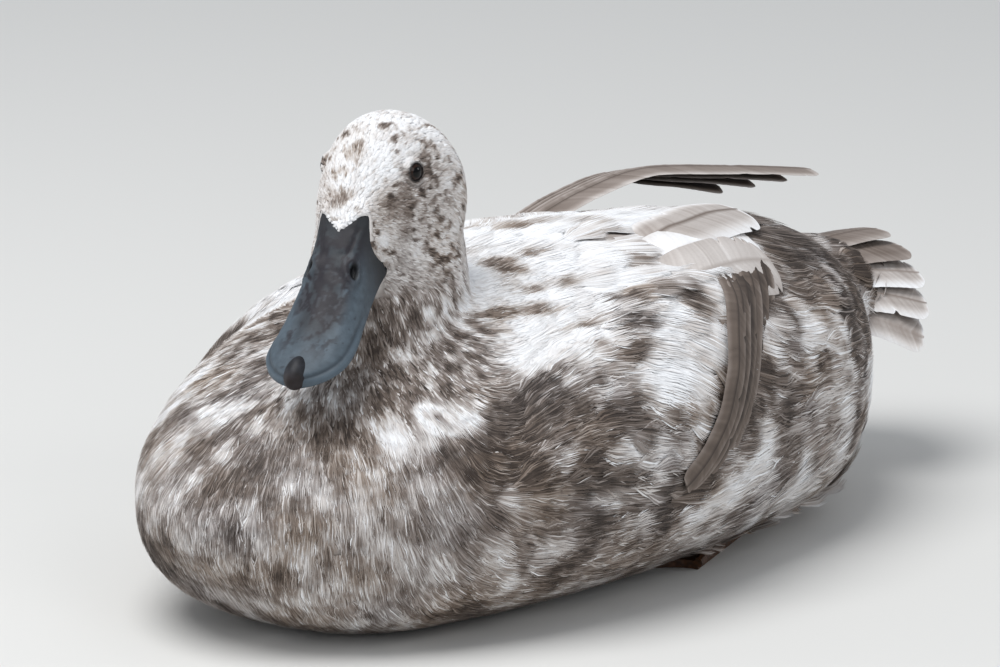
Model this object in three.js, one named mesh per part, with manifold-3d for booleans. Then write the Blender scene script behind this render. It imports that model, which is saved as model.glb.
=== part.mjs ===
// A life-size still model of a resting domestic duck: it sits on its belly with its neck
// drawn in, its bill held low and its head turned a little to its left.
// Millimetres, +Z up. The duck faces -Y and its left side is +X. The floor is Z = 0.
import * as THREE from "three";
import { mergeVertices } from "three/addons/utils/BufferGeometryUtils.js";
import Module from "manifold-3d";

const wasm = await Module();
wasm.setup();

// ================================================================ driving dimensions
const GAP = 0.3; // clear air between neighbouring pieces
const CHIN_GAP = 2.5; // clear air between the low-held bill and the neck
const FLOOR = { side: 1000, depth: 100 };

// The trunk, from the breast to the vent. Every profile is read along Y.
const BREAST_Y = -165;
const VENT_Y = 196;
const HALF_WIDTH = [[-165, 90], [-60, 94], [20, 94], [90, 84], [150, 68], [196, 55]];
const BACK_HEIGHT = [
  [-165, 82], [-120, 91], [-70, 106], [-20, 116], [30, 118], [90, 114], [145, 105], [196, 92],
];
const BELLY_HEIGHT = [[-165, 8], [-130, -3], [105, -3], [150, 4], [196, 22]];
const WIDEST_HEIGHT = [[-165, 46], [-60, 46], [60, 48], [196, 54]];
const BREAST_ROUND = { plan: 156, side: 72 }; // how far in from each end its rounding reaches
const VENT_ROUND = { plan: 88, side: 52 };

// The neck, from inside the trunk up into the head. Every profile is read along Z.
const NECK_BOTTOM = 52;
const NECK_TOP = 152;
const NECK_MIDDLE = [[52, -84], [80, -72], [100, -63], [120, -60], [152, -62]];
const NECK_HALF_WIDTH = [[52, 66], [75, 48], [92, 35], [115, 28], [135, 24], [152, 15]];
const NECK_HALF_DEPTH = [[52, 68], [75, 50], [92, 38], [115, 33], [135, 30], [152, 20]];

// The head, in a frame of its own: the eyes' axis is at its origin and the bill points to -Y.
const HEAD_AT = [6, -72, 159];
const HEAD_TURN = 15; // degrees to its left
const HEAD_TILT = -1.8; // degrees: below zero, the throat swings to its left
const HEAD_FRONT = -31;
const HEAD_BACK = 45;
const HEAD_ROUND = { front: 7, back: 26 };
const HEAD_CROWN = [
  [-31, -22], [-28, -17], [-22, -7], [-16, 3], [-8, 11.5], [2, 16.8], [14, 18], [27, 14.5], [45, 3],
];
const HEAD_THROAT = [[-31, -30], [-22, -33.5], [-11, -37], [5, -40], [22, -42], [45, -38]];
const HEAD_MIDDLE = [[-31, -24], [-11, -18], [10, -14], [45, -14]];
const HEAD_HALF_WIDTH = [[-31, 8], [-22.5, 11], [-11, 17], [0, 20.6], [12, 23.2], [25, 25], [45, 23]];

const EYE_RADIUS = 5.4;
const EYE_SIDE = 13.8; // from the middle of the head to each eye's centre

// The bill, from the corner of the mouth (0) to its tip, along an axis that slopes down.
const BILL_AT = [0, -11, -32.5]; // the corner of the mouth, in the head's frame
const BILL_SLOPE = 28; // degrees down from the head's axis
const BILL_YAW = 1.2; // degrees to the left of the head's axis
const BILL_LENGTH = 65;
const BILL_ROUND = 16;
const BILL_BOXY_UNTIL = 38;
const BILL_HALF_WIDTH = [[-4, 11.3], [8, 11], [20, 12], [32, 13.8], [46, 15.7], [65, 15.4]];
const CULMEN_HEIGHT = [[-4, 27.5], [8, 22], [20, 16.6], [34, 11], [48, 7.4], [65, 6]];
const LOWER_BILL = { start: 1, end: 60, depth: 4.6, inset: 1.6 };
const NAIL = { at: 60.5, height: 2.6, halfWidth: 4.3, halfLength: 6.6, halfHeight: 4.4 };

// Each folded wing is a shell over the trunk: [Y, degrees up from the trunk's widest line].
const WING_FRONT_LOW = [-80, 8];
const WING_FRONT_HIGH = [-56, 46];
const WING_REAR_LOW = [-12, -3];
const WING_REAR_HIGH = [92, 66];
const WING_PROUD = 5.5;

// The flight feathers that show behind each wing. From, to, low and high are shares of the wing.
const FLIGHT = {
  count: 8,
  from: 0.82,
  to: 1.2,
  low: 0,
  high: 0.98,
  lift: 2.8,
  thick: 2.2,
  notch: 0.26, // share of its length by which a feather's corners fall short of its tip
  shingle: 1.2, // height of the step between neighbouring feathers
};

// The right wing's long primaries lie over the rump. The roots and tips run from the top one down.
const PRIMARIES = { count: 4, root: [-48, 76, 107], middle: [-42, 140, 112], tip: [-14, 205, 107] };
const PRIMARY_STEP = { root: [-4, 0, -2.2], middle: [-5.5, 0, -2], tip: [-6, -11, -1.4] };
const PRIMARY = { width: 17, thick: 1.8 };

// The left wing's tertials cover the rear of the back.
const TERTIALS = { count: 3, root: [30, 24, 115], middle: [30, 70, 118], tip: [18, 119, 111] };
const TERTIAL_STEP = { root: [14, -8, -5], middle: [14, -10, -5], tip: [18, -16, -9] };
const TERTIAL = { width: 34, thick: 2.4 };
const VANE_RINGS = 5; // sections along each of these long feathers

// The tail: a fleshy stump with its coverts, and a roof-shaped fan of long feathers.
const STUMP = { front: 160, back: 212, halfWidth: 36, halfHeight: 17, height: 74, droop: 2 };
const STUMP_ROOF = 15; // how much lower the stump's sides lie
const FAN = {
  count: 9,
  root: 172,
  rootHalfWidth: 22,
  height: 79,
  length: 58,
  shorter: 0.38, // share by which its outermost feathers are shorter
  spread: 35, // degrees to each side
  roof: 33, // how much lower its outermost feathers lie
  curve: 1.4,
  arch: 2,
  tilt: 1,
  thick: 1.8,
  notch: 0.14,
  shingle: 1.2,
};

// The tucked feet: each lies flat on the floor under the flank.
const FOOT_AT = [47, 44, 0];
const FOOT_TURN = 6; // degrees outward
const TOE_LENGTHS = [52, 58, 50];
const TOE_SPREAD = 20; // degrees between neighbouring toes
const FOOT_THICK = 3;
const TOE_RADIUS = 3.2;
const SHANK = { length: 48, radius: [5, 5.4, 7], height: 7.5 };

// ================================================================ small tools
const radians = THREE.MathUtils.degToRad;
const mix = THREE.MathUtils.lerp;
const vector = (list) => new THREE.Vector3(...list);

// A smooth curve through the rows of a profile that never overshoots them.
function profile(rows) {
  const slope = rows.map((row, i) => {
    if (i === 0 || i === rows.length - 1) return 0;
    const before = (row[1] - rows[i - 1][1]) / (row[0] - rows[i - 1][0]);
    const after = (rows[i + 1][1] - row[1]) / (rows[i + 1][0] - row[0]);
    return before * after <= 0 ? 0 : (2 * before * after) / (before + after);
  });
  return (at) => {
    const x = THREE.MathUtils.clamp(at, rows[0][0], rows[rows.length - 1][0]);
    let i = 0;
    while (i < rows.length - 2 && x > rows[i + 1][0]) i += 1;
    const span = rows[i + 1][0] - rows[i][0];
    const t = (x - rows[i][0]) / span;
    const [a, b] = [rows[i][1], rows[i + 1][1]];
    return a * (1 + 2 * t) * (1 - t) ** 2 + b * t * t * (3 - 2 * t)
      + span * t * (1 - t) * (slope[i] * (1 - t) - slope[i + 1] * t);
  };
}

// 0 at an end, growing as a quarter circle to 1 at the given distance in from it.
function rounding(distance, reach) {
  const d = THREE.MathUtils.clamp(distance / reach, 0, 1);
  return Math.sqrt(1 - (1 - d) ** 2);
}

// A superellipse's cosine or sine: the exponent is 2 for an ellipse and more for a boxier form.
const bent = (value, exponent) => Math.sign(value) * Math.abs(value) ** (2 / exponent);

// Evenly spaced angles around a ring.
const turns = (count) => [...Array(count).keys()].map((i) => (i / count) * 2 * Math.PI);

// Positions from one end to the other that crowd together towards both ends.
function crowded(from, to, steps) {
  return [...Array(steps + 1).keys()].map((i) => mix(from, to, (1 - Math.cos((Math.PI * i) / steps)) / 2));
}

// A closed solid over rings of points. Every ring has as many points, and a fan closes each end.
function loft(rings, matrix) {
  const count = rings[0].length;
  const points = rings.flat();
  const faces = [];
  for (let r = 0; r < rings.length - 1; r += 1) {
    for (let i = 0; i < count; i += 1) {
      const [a, b] = [r * count + i, r * count + ((i + 1) % count)];
      faces.push(a, b, b + count);
      faces.push(a, b + count, a + count);
    }
  }
  const closeEnd = (r, flip) => {
    const middle = rings[r].reduce((sum, p) => sum.add(p), new THREE.Vector3()).divideScalar(count);
    const hub = points.push(middle) - 1;
    for (let i = 0; i < count; i += 1) {
      const [a, b] = [r * count + i, r * count + ((i + 1) % count)];
      if (flip) faces.push(hub, b, a);
      else faces.push(hub, a, b);
    }
  };
  closeEnd(0, true);
  closeEnd(rings.length - 1, false);
  const geometry = new THREE.BufferGeometry().setFromPoints(points);
  geometry.setIndex(faces);
  return solid(geometry, matrix);
}

// A closed geometry as a solid that can be joined and cut, with its faces pointing out.
function solid(geometry, matrix) {
  const bare = new THREE.BufferGeometry();
  bare.setAttribute("position", geometry.getAttribute("position").clone());
  if (geometry.getIndex()) bare.setIndex(geometry.getIndex().clone());
  if (matrix) bare.applyMatrix4(matrix);
  const merged = mergeVertices(bare, 1e-3);
  const vertProperties = new Float32Array(merged.getAttribute("position").array);
  const triVerts = new Uint32Array(merged.getIndex().array);
  const made = new wasm.Manifold(new wasm.Mesh({ numProp: 3, vertProperties, triVerts }));
  if (made.volume() > 0) return made;
  return new wasm.Manifold(new wasm.Mesh({ numProp: 3, vertProperties, triVerts: triVerts.reverse() }));
}

const joined = (solids) => solids.reduce((whole, each) => whole.add(each));

// The floor: everything below Z = 0.
const slab = new THREE.BoxGeometry(FLOOR.side, FLOOR.side, FLOOR.depth);
const floor = solid(slab.translate(0, 0, -FLOOR.depth / 2));

// A named mesh of a solid's largest piece, with nothing of it below the floor.
function node(name, made, material) {
  const pieces = made.subtract(floor).decompose();
  const largest = pieces.sort((a, b) => b.volume() - a.volume())[0];
  const { vertProperties, triVerts } = largest.getMesh();
  const geometry = new THREE.BufferGeometry();
  geometry.setAttribute("position", new THREE.BufferAttribute(new Float32Array(vertProperties), 3));
  geometry.setIndex(new THREE.BufferAttribute(new Uint32Array(triVerts), 1));
  geometry.computeVertexNormals();
  const mesh = new THREE.Mesh(geometry, material);
  mesh.name = name;
  return mesh;
}

const finish = (color, roughness) => new THREE.MeshStandardMaterial({ color, roughness, metalness: 0 });
const PLUMAGE = finish("#b9b4b1", 0.9);
const FLIGHT_VANE = finish("#6b6263", 0.7);
const TAIL_VANE = finish("#a39e9f", 0.8);
const BILL_SKIN = finish("#566270", 0.45);
const NAIL_HORN = finish("#28272b", 0.4);
const EYE_GLOSS = finish("#14110f", 0.08);
const FOOT_SKIN = finish("#6a4526", 0.6);

// ================================================================ trunk
const halfWidth = profile(HALF_WIDTH);
const backHeight = profile(BACK_HEIGHT);
const bellyHeight = profile(BELLY_HEIGHT);
const widestHeight = profile(WIDEST_HEIGHT);

// A point of the trunk's surface at y. The angle runs from its left side (0) up over the back (90).
function trunkPoint(y, angle, lift = 0) {
  const plan = rounding(y - BREAST_Y, BREAST_ROUND.plan) * rounding(VENT_Y - y, VENT_ROUND.plan);
  const side = rounding(y - BREAST_Y, BREAST_ROUND.side) * rounding(VENT_Y - y, VENT_ROUND.side);
  const boxy = Math.sin(angle) > 0 ? 2.15 : 2.7;
  const middle = widestHeight(y);
  const rise = (Math.sin(angle) > 0 ? backHeight(y) - middle : middle - bellyHeight(y)) * side;
  return new THREE.Vector3(
    bent(Math.cos(angle), boxy) * (halfWidth(y) * plan + lift),
    y,
    middle + bent(Math.sin(angle), boxy) * (rise + lift),
  );
}

// The way straight out of the trunk's surface at a point of it.
function trunkOutward(y, angle, side = 1) {
  const step = 0.02;
  const around = trunkPoint(y, angle + step).sub(trunkPoint(y, angle - step));
  const along = trunkPoint(y + 1, angle).sub(trunkPoint(y - 1, angle));
  const outward = around.cross(along).normalize();
  return outward.setX(side * outward.x);
}

function trunk(lift = 0) {
  const stations = crowded(BREAST_Y + 0.8 - lift, VENT_Y - 0.8 + lift, 20);
  return loft(stations.map((y) => {
    const held = THREE.MathUtils.clamp(y, BREAST_Y + 0.8, VENT_Y - 0.8);
    return turns(26).map((angle) => trunkPoint(held, angle, lift).setY(y));
  }));
}

// ================================================================ neck
const neckMiddle = profile(NECK_MIDDLE);
const neckHalfWidth = profile(NECK_HALF_WIDTH);
const neckHalfDepth = profile(NECK_HALF_DEPTH);
const neckSway = profile([[NECK_BOTTOM, 0], [NECK_TOP, HEAD_AT[0] - 2]]);

function neck() {
  const heights = [...Array(10).keys()].map((i) => mix(NECK_BOTTOM, NECK_TOP, i / 9));
  return loft(heights.map((z) => turns(20).map((angle) => new THREE.Vector3(
    neckSway(z) + Math.cos(angle) * neckHalfWidth(z),
    neckMiddle(z) + Math.sin(angle) * neckHalfDepth(z),
    z,
  ))));
}

// ================================================================ head, eyes and bill
const headPlace = new THREE.Matrix4().makeRotationZ(radians(HEAD_TURN));
headPlace.multiply(new THREE.Matrix4().makeRotationY(radians(HEAD_TILT)));
headPlace.setPosition(vector(HEAD_AT));

const headCrown = profile(HEAD_CROWN);
const headThroat = profile(HEAD_THROAT);
const headMiddle = profile(HEAD_MIDDLE);
const headHalfWidth = profile(HEAD_HALF_WIDTH);

function head(lift = 0) {
  const stations = crowded(HEAD_FRONT + 0.2 - lift, HEAD_BACK - 0.2 + lift, 14);
  return loft(stations.map((y) => {
    const held = THREE.MathUtils.clamp(y, HEAD_FRONT + 0.2, HEAD_BACK - 0.2);
    const ends = rounding(held - HEAD_FRONT, HEAD_ROUND.front) * rounding(HEAD_BACK - held, HEAD_ROUND.back);
    const middle = headMiddle(held);
    return turns(22).map((angle) => {
      const reach = Math.sin(angle) > 0 ? headCrown(held) - middle : middle - headThroat(held);
      return new THREE.Vector3(
        bent(Math.cos(angle), 2.2) * (headHalfWidth(held) * ends + lift),
        y,
        middle + bent(Math.sin(angle), 2.2) * (reach * ends + lift),
      );
    });
  }), headPlace);
}

function eye(side, lift = 0) {
  const ball = new THREE.IcosahedronGeometry(EYE_RADIUS + lift, 2).translate(side * EYE_SIDE, 0, 0);
  return solid(ball, headPlace);
}

// The bill's own frame: -Y runs along it to the tip and Z is square to its upper side.
const billPlace = headPlace.clone();
billPlace.multiply(new THREE.Matrix4().makeTranslation(...BILL_AT));
billPlace.multiply(new THREE.Matrix4().makeRotationZ(radians(BILL_YAW)));
billPlace.multiply(new THREE.Matrix4().makeRotationX(radians(BILL_SLOPE)));

const billHalfWidth = profile(BILL_HALF_WIDTH);
const culmenHeight = profile(CULMEN_HEIGHT);

// The upper bill's section is an arch: boxy at its base and flatter towards its tip.
function billUpper(lift = 0) {
  const stations = crowded(-4, BILL_LENGTH - 0.2, 10);
  return loft(stations.map((d) => {
    const tip = rounding(BILL_LENGTH - d, BILL_ROUND);
    const boxy = mix(5, 2.1, Math.min(d / BILL_BOXY_UNTIL, 1));
    const height = culmenHeight(d) * mix(0.55, 1, tip);
    return turns(16).map((angle) => new THREE.Vector3(
      bent(Math.cos(angle), boxy) * (billHalfWidth(d) * tip + lift),
      -d,
      bent(Math.sin(angle), boxy) * (Math.sin(angle) > 0 ? height + lift : 0.9 + lift),
    ));
  }), billPlace);
}

function billLower(lift = 0) {
  const { start, end, depth, inset } = LOWER_BILL;
  const stations = crowded(start, end, 9);
  return loft(stations.map((d) => {
    const tip = rounding(end + 0.5 - d, BILL_ROUND);
    return turns(16).map((angle) => new THREE.Vector3(
      Math.cos(angle) * ((billHalfWidth(d) - inset) * tip + lift),
      -d,
      Math.sin(angle) * (Math.sin(angle) > 0 ? 0.5 + lift : depth * tip + lift) - 0.5,
    ));
  }), billPlace);
}

function nail(lift = 0) {
  const shape = new THREE.IcosahedronGeometry(1, 2);
  shape.scale(NAIL.halfWidth + lift, NAIL.halfLength + lift, NAIL.halfHeight + lift);
  shape.rotateX(radians(14));
  return solid(shape.translate(0, -NAIL.at, NAIL.height), billPlace);
}

// ================================================================ wings
// A place on a folded wing: s runs from its front to its rear and t from its low to its high edge.
function wingSpot(s, t) {
  const [y, degrees] = [0, 1].map((k) => mix(
    mix(WING_FRONT_LOW[k], WING_REAR_LOW[k], s),
    mix(WING_FRONT_HIGH[k], WING_REAR_HIGH[k], s),
    t,
  ));
  return [y, radians(degrees)];
}

function wingPoint(side, s, t, lift) {
  const point = trunkPoint(...wingSpot(s, t), lift);
  return point.setX(side * point.x);
}

// The wing's coverts and the scapulars over them, proud of the trunk and thin at the edges.
function wing(side, grown = 0) {
  const [along, up] = [9, 9];
  const rings = [];
  for (let i = 0; i <= along; i += 1) {
    const s = mix(-grown / 120, 1 + grown / 120, i / along);
    const outer = [];
    const inner = [];
    for (let j = 0; j <= up; j += 1) {
      const t = mix(-grown / 90, 1 + grown / 90, j / up);
      const front = rounding(i / along, 0.35);
      const edge = rounding(j / up, 0.3) * rounding(1 - j / up, 0.3);
      outer.push(wingPoint(side, s, t, 1 + grown + WING_PROUD * front * edge * mix(1, 0.75, i / along)));
      inner.unshift(wingPoint(side, s, t, -3));
    }
    rings.push([...outer, ...inner]);
  }
  return loft(rings);
}

// One long feather: a thin blade along a bent line, rounded at its tip.
function vane(root, middle, tip, outward, width, thick, grown = 0) {
  const line = new THREE.QuadraticBezierCurve3(root, middle, tip);
  const rings = [...Array(VANE_RINGS).keys()].map((i) => {
    const t = 1 - (1 - i / (VANE_RINGS - 1)) ** 1.6;
    const at = line.getPoint(t);
    const along = line.getTangent(t);
    const across = new THREE.Vector3().crossVectors(along, outward).normalize();
    const up = new THREE.Vector3().crossVectors(across, along).normalize();
    const taper = mix(0.75, 1, Math.sin(Math.PI * t)) * Math.max(rounding(1 - t, 0.22), 0.22);
    const half = (width / 2) * taper + grown;
    return turns(6).map((angle) => at.clone()
      .addScaledVector(across, Math.cos(angle) * half)
      .addScaledVector(up, Math.sin(angle) * (thick / 2 + grown)));
  });
  return loft(rings);
}

// Feathers side by side in one thin sheet: each has a round tip and overlaps the next by a step.
// The place of a point is a function of how far across the sheet and how far along it lies.
function featherSheet(count, place, { thick, notch, shingle }) {
  const across = [0.03, 0.3, 0.7, 0.97];
  const along = [0, 0.6, 1];
  const rings = [...Array(count).keys()].flatMap((i) => across.map((share) => {
    const reach = 1 - notch * (1 - Math.sqrt(1 - (2 * share - 1) ** 2));
    const strip = (half) => along.map((v) => {
      const { at, outward } = place((i + share) / count, v * reach);
      return at.clone().addScaledVector(outward, half + shingle * (share - 0.5) * v);
    });
    return [...strip(thick / 2), ...strip(-thick / 2).reverse()];
  }));
  return loft(rings);
}

// The flight feathers whose ends show behind the folded wing, from the lowest up.
function flight(side) {
  return featherSheet(FLIGHT.count, (u, v) => {
    const [s, t] = [mix(FLIGHT.from, FLIGHT.to, v), mix(FLIGHT.low, FLIGHT.high, u)];
    const outward = trunkOutward(...wingSpot(s, t), side);
    return { at: wingPoint(side, s, t, FLIGHT.lift), outward };
  }, FLIGHT);
}

// Long feathers laid side by side: each one's root, middle and tip step on from the last one's.
function laidFeathers({ count, root, middle, tip }, step, { width, thick }, outward, grown = 0) {
  return joined([...Array(count).keys()].map((i) => {
    const at = (start, by) => vector(start).addScaledVector(vector(by), i);
    const ends = [at(root, step.root), at(middle, step.middle), at(tip, step.tip)];
    return vane(...ends, outward, width, thick, grown);
  }));
}

const tertials = (grown) => laidFeathers(TERTIALS, TERTIAL_STEP, TERTIAL, vector([0.35, 0.1, 1]), grown);
const primaries = (grown) => laidFeathers(PRIMARIES, PRIMARY_STEP, PRIMARY, vector([-0.35, 0, 1]), grown);

// ================================================================ tail
function tailStump(lift = 0) {
  const { front, back, halfWidth: wide, halfHeight, height, droop } = STUMP;
  return loft(crowded(front - lift, back - 0.3 + lift, 9).map((y) => {
    const held = Math.min(y, back - 0.3);
    const end = rounding(back - held, back - front);
    const roof = (x) => STUMP_ROOF * (x / wide) ** 2;
    return turns(18).map((angle) => {
      const x = Math.cos(angle) * (wide * end + lift);
      const middle = height - droop * ((held - front) / (back - front)) - roof(x);
      return new THREE.Vector3(x, y, middle + Math.sin(angle) * (halfHeight * end + lift));
    });
  }));
}

function tailFan() {
  return featherSheet(FAN.count, (u, v) => {
    const side = 2 * u - 1;
    const angle = radians(FAN.spread * side);
    const reach = FAN.length * (1 - FAN.shorter * side * side) * v;
    const fall = FAN.roof * Math.abs(side) ** FAN.curve;
    const at = new THREE.Vector3(
      FAN.rootHalfWidth * side + Math.sin(angle) * reach,
      FAN.root + Math.cos(angle) * reach,
      FAN.height - fall * mix(0.5, 1, v) + FAN.arch * Math.sin(Math.PI * v),
    );
    return { at, outward: new THREE.Vector3(FAN.tilt * side, 0, 1).normalize() };
  }, FAN);
}

// ================================================================ feet
function footPlace(side) {
  const place = new THREE.Matrix4().makeTranslation(side * FOOT_AT[0], FOOT_AT[1], FOOT_AT[2]);
  return place.multiply(new THREE.Matrix4().makeRotationZ(radians(side * FOOT_TURN)));
}

// Three toes run forward from the foot's heel, with the web between them.
function foot(side) {
  const heel = new THREE.Vector2(0, 40);
  const ends = TOE_LENGTHS.map((length, i) => {
    const angle = radians((i - 1) * TOE_SPREAD);
    return new THREE.Vector2(heel.x + Math.sin(angle) * length, heel.y - Math.cos(angle) * length);
  });
  const web = new THREE.Shape();
  web.moveTo(heel.x - 5, heel.y + 3);
  web.lineTo(ends[0].x, ends[0].y);
  web.quadraticCurveTo((ends[0].x + ends[1].x) / 2, ends[1].y + 12, ends[1].x, ends[1].y);
  web.quadraticCurveTo((ends[1].x + ends[2].x) / 2, ends[1].y + 12, ends[2].x, ends[2].y);
  web.lineTo(heel.x + 5, heel.y + 3);
  web.closePath();
  const made = { depth: FOOT_THICK, bevelEnabled: false, curveSegments: 6 };
  const sheet = new THREE.ExtrudeGeometry(web, made);
  const toes = ends.map((end) => {
    const from = new THREE.Vector3(heel.x, heel.y, TOE_RADIUS);
    const to = new THREE.Vector3(end.x, end.y, TOE_RADIUS * 0.8);
    const sections = [0, 0.9, 1].map((t) => turns(8).map((angle) => from.clone().lerp(to, t).add(
      new THREE.Vector3(Math.cos(angle), 0, Math.sin(angle)).multiplyScalar(TOE_RADIUS * mix(1, 0.55, t ** 3)),
    )));
    return loft(sections, footPlace(side));
  });
  return joined([solid(sheet, footPlace(side)), ...toes]);
}

// The shank lies along the floor behind the foot, up to the hock.
function shank(side) {
  const { length, radius, height } = SHANK;
  const size = profile([[0, radius[0]], [0.6, radius[1]], [1, radius[2]]]);
  const sections = crowded(0.01, 0.99, 6).map((t) => turns(8).map((angle) => {
    const r = size(t) * Math.max(rounding(t, 0.12) * rounding(1 - t, 0.16), 0.15);
    return new THREE.Vector3(Math.cos(angle) * r, 44.5 + t * length, height + Math.sin(angle) * r);
  }));
  return loft(sections, footPlace(side));
}

// The hollow that each tucked leg lies in, open to the floor and to the side.
function legBay(side) {
  const bay = new THREE.BoxGeometry(46, 118, 30).translate(side * 2, 34, 0);
  return solid(bay, footPlace(side));
}

// ================================================================ the whole duck
const body = trunk();
const bodyGrown = trunk(GAP);
const bill = billUpper();
const lowerBill = billLower();
const billGrown = joined([billUpper(CHIN_GAP), nail(CHIN_GAP), billLower(CHIN_GAP)]);
const skull = head();
const skullGrown = head(GAP);
const stump = tailStump();
const wings = { left: wing(1), right: wing(-1) };
const wingsGrown = { left: wing(1, GAP), right: wing(-1, GAP) };

const duck = new THREE.Group();
duck.add(node("trunk", body.subtract(legBay(1)).subtract(legBay(-1)), PLUMAGE));
duck.add(node("neck", neck().subtract(bodyGrown).subtract(skullGrown).subtract(billGrown), PLUMAGE));
duck.add(node("head", skull.subtract(eye(1, GAP)).subtract(eye(-1, GAP)), PLUMAGE));
duck.add(node("eye_left", eye(1), EYE_GLOSS));
duck.add(node("eye_right", eye(-1), EYE_GLOSS));
duck.add(node("bill_upper", bill.subtract(skullGrown).subtract(nail(GAP)), BILL_SKIN));
duck.add(node("bill_nail", nail().subtract(lowerBill), NAIL_HORN));
const mandible = lowerBill.subtract(skullGrown).subtract(nail(GAP)).subtract(billUpper(GAP));
duck.add(node("bill_lower", mandible, BILL_SKIN));

const overlying = { left: tertials(GAP), right: primaries(GAP) };
for (const [name, side] of [["left", 1], ["right", -1]]) {
  duck.add(node(`wing_${name}`, wings[name].subtract(bodyGrown), PLUMAGE));
  const blades = flight(side).subtract(bodyGrown).subtract(wingsGrown[name]).subtract(overlying[name]);
  duck.add(node(`wing_${name}_flight`, blades, FLIGHT_VANE));
  duck.add(node(`foot_${name}`, foot(side), FOOT_SKIN));
  duck.add(node(`leg_${name}`, shank(side), FOOT_SKIN));
}
duck.add(node("wing_left_tertials", tertials(0).subtract(bodyGrown).subtract(wingsGrown.left), PLUMAGE));
const longBlades = primaries(0).subtract(bodyGrown).subtract(wingsGrown.right);
duck.add(node("wing_right_primaries", longBlades, FLIGHT_VANE));
duck.add(node("tail", stump.subtract(bodyGrown), PLUMAGE));
duck.add(node("tail_feathers", tailFan().subtract(bodyGrown).subtract(tailStump(GAP)), TAIL_VANE));

// The origin lies on the floor, under the middle of the whole duck's box.
const middle = new THREE.Box3().setFromObject(duck, true).getCenter(new THREE.Vector3());
duck.position.set(-middle.x, -middle.y, 0);

export default duck;
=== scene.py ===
"""A life-size still model of a resting domestic duck: one skin, the plumage laid over it feather by
feather, and the bill, nail, eyes and feet. Sizes are in millimetres; the duck faces -Y, left is +X."""

import math
from itertools import product

import bmesh
import bpy
import numpy as np
from mathutils import Matrix, Vector
from mathutils.bvhtree import BVHTree


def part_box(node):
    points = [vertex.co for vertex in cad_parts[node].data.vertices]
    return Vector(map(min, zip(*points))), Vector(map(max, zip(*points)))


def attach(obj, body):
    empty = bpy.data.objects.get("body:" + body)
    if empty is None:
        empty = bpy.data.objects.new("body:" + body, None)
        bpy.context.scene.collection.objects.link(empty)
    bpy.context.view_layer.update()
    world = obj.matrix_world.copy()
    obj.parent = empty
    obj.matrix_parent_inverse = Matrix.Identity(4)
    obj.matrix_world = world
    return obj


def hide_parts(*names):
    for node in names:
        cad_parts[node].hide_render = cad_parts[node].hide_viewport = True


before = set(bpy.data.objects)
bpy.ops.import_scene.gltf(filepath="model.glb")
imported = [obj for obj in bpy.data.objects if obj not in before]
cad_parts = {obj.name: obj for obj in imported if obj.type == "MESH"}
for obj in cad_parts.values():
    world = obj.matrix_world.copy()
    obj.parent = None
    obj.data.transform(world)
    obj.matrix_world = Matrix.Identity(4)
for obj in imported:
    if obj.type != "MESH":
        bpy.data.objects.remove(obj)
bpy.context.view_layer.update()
chance = np.random.default_rng(7)

# ------------------------------------------------------------------ sizes shared with the solids
BREAST_Y, VENT_Y = -165, 196
HALF_WIDTH = [[-165, 90], [-60, 94], [20, 94], [90, 84], [150, 68], [196, 55]]
BACK_HEIGHT = [[-165, 82], [-120, 91], [-70, 106], [-20, 116], [30, 118], [90, 114], [145, 105], [196, 92]]
BELLY_HEIGHT = [[-165, 8], [-130, -3], [105, -3], [150, 4], [196, 22]]
WIDEST_HEIGHT = [[-165, 46], [-60, 46], [60, 48], [196, 54]]
BREAST_ROUND = {"plan": 156, "side": 72}
VENT_ROUND = {"plan": 88, "side": 52}

NECK_BOTTOM, NECK_TOP = 52, 152
NECK_MIDDLE = [[52, -84], [80, -72], [100, -63], [120, -60], [152, -62]]
NECK_HALF_WIDTH = [[52, 66], [75, 48], [92, 35], [115, 28], [135, 24], [152, 15]]
NECK_HALF_DEPTH = [[52, 68], [75, 50], [92, 38], [115, 33], [135, 30], [152, 20]]

HEAD_AT, HEAD_TURN, HEAD_TILT = (6, -72, 159), 15, -1.8
HEAD_FRONT, HEAD_BACK = -31, 45
HEAD_ROUND = {"front": 7, "back": 26}
HEAD_CROWN = [[-31, -22], [-28, -17], [-22, -7], [-16, 3], [-8, 11.5],
              [2, 16.8], [14, 18], [27, 14.5], [45, 3]]
HEAD_THROAT = [[-31, -30], [-22, -33.5], [-11, -37], [5, -40], [22, -42], [45, -38]]
HEAD_MIDDLE = [[-31, -24], [-11, -18], [10, -14], [45, -14]]
HEAD_HALF_WIDTH = [[-31, 8], [-22.5, 11], [-11, 17], [0, 20.6], [12, 23.2], [25, 25], [45, 23]]
EYE_RADIUS, EYE_SIDE = 5.4, 13.8

BILL_AT, BILL_YAW, BILL_SLOPE = (0, -11, -32.5), 1.2, 28
BILL_LENGTH, BILL_ROUND, BILL_BOXY_UNTIL = 65, 16, 38
BILL_HALF_WIDTH = [[-4, 11.3], [8, 11], [20, 12], [32, 13.8], [46, 15.7], [65, 15.4]]
CULMEN_HEIGHT = [[-4, 27.5], [8, 22], [20, 16.6], [34, 11], [48, 7.4], [65, 6]]
LOWER_BILL = {"start": 1, "end": 60, "depth": 4.6, "inset": 1.6}
NAIL = {"at": 60.5, "height": 2.6, "halfWidth": 4.3, "halfLength": 6.6, "halfHeight": 4.4}

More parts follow.
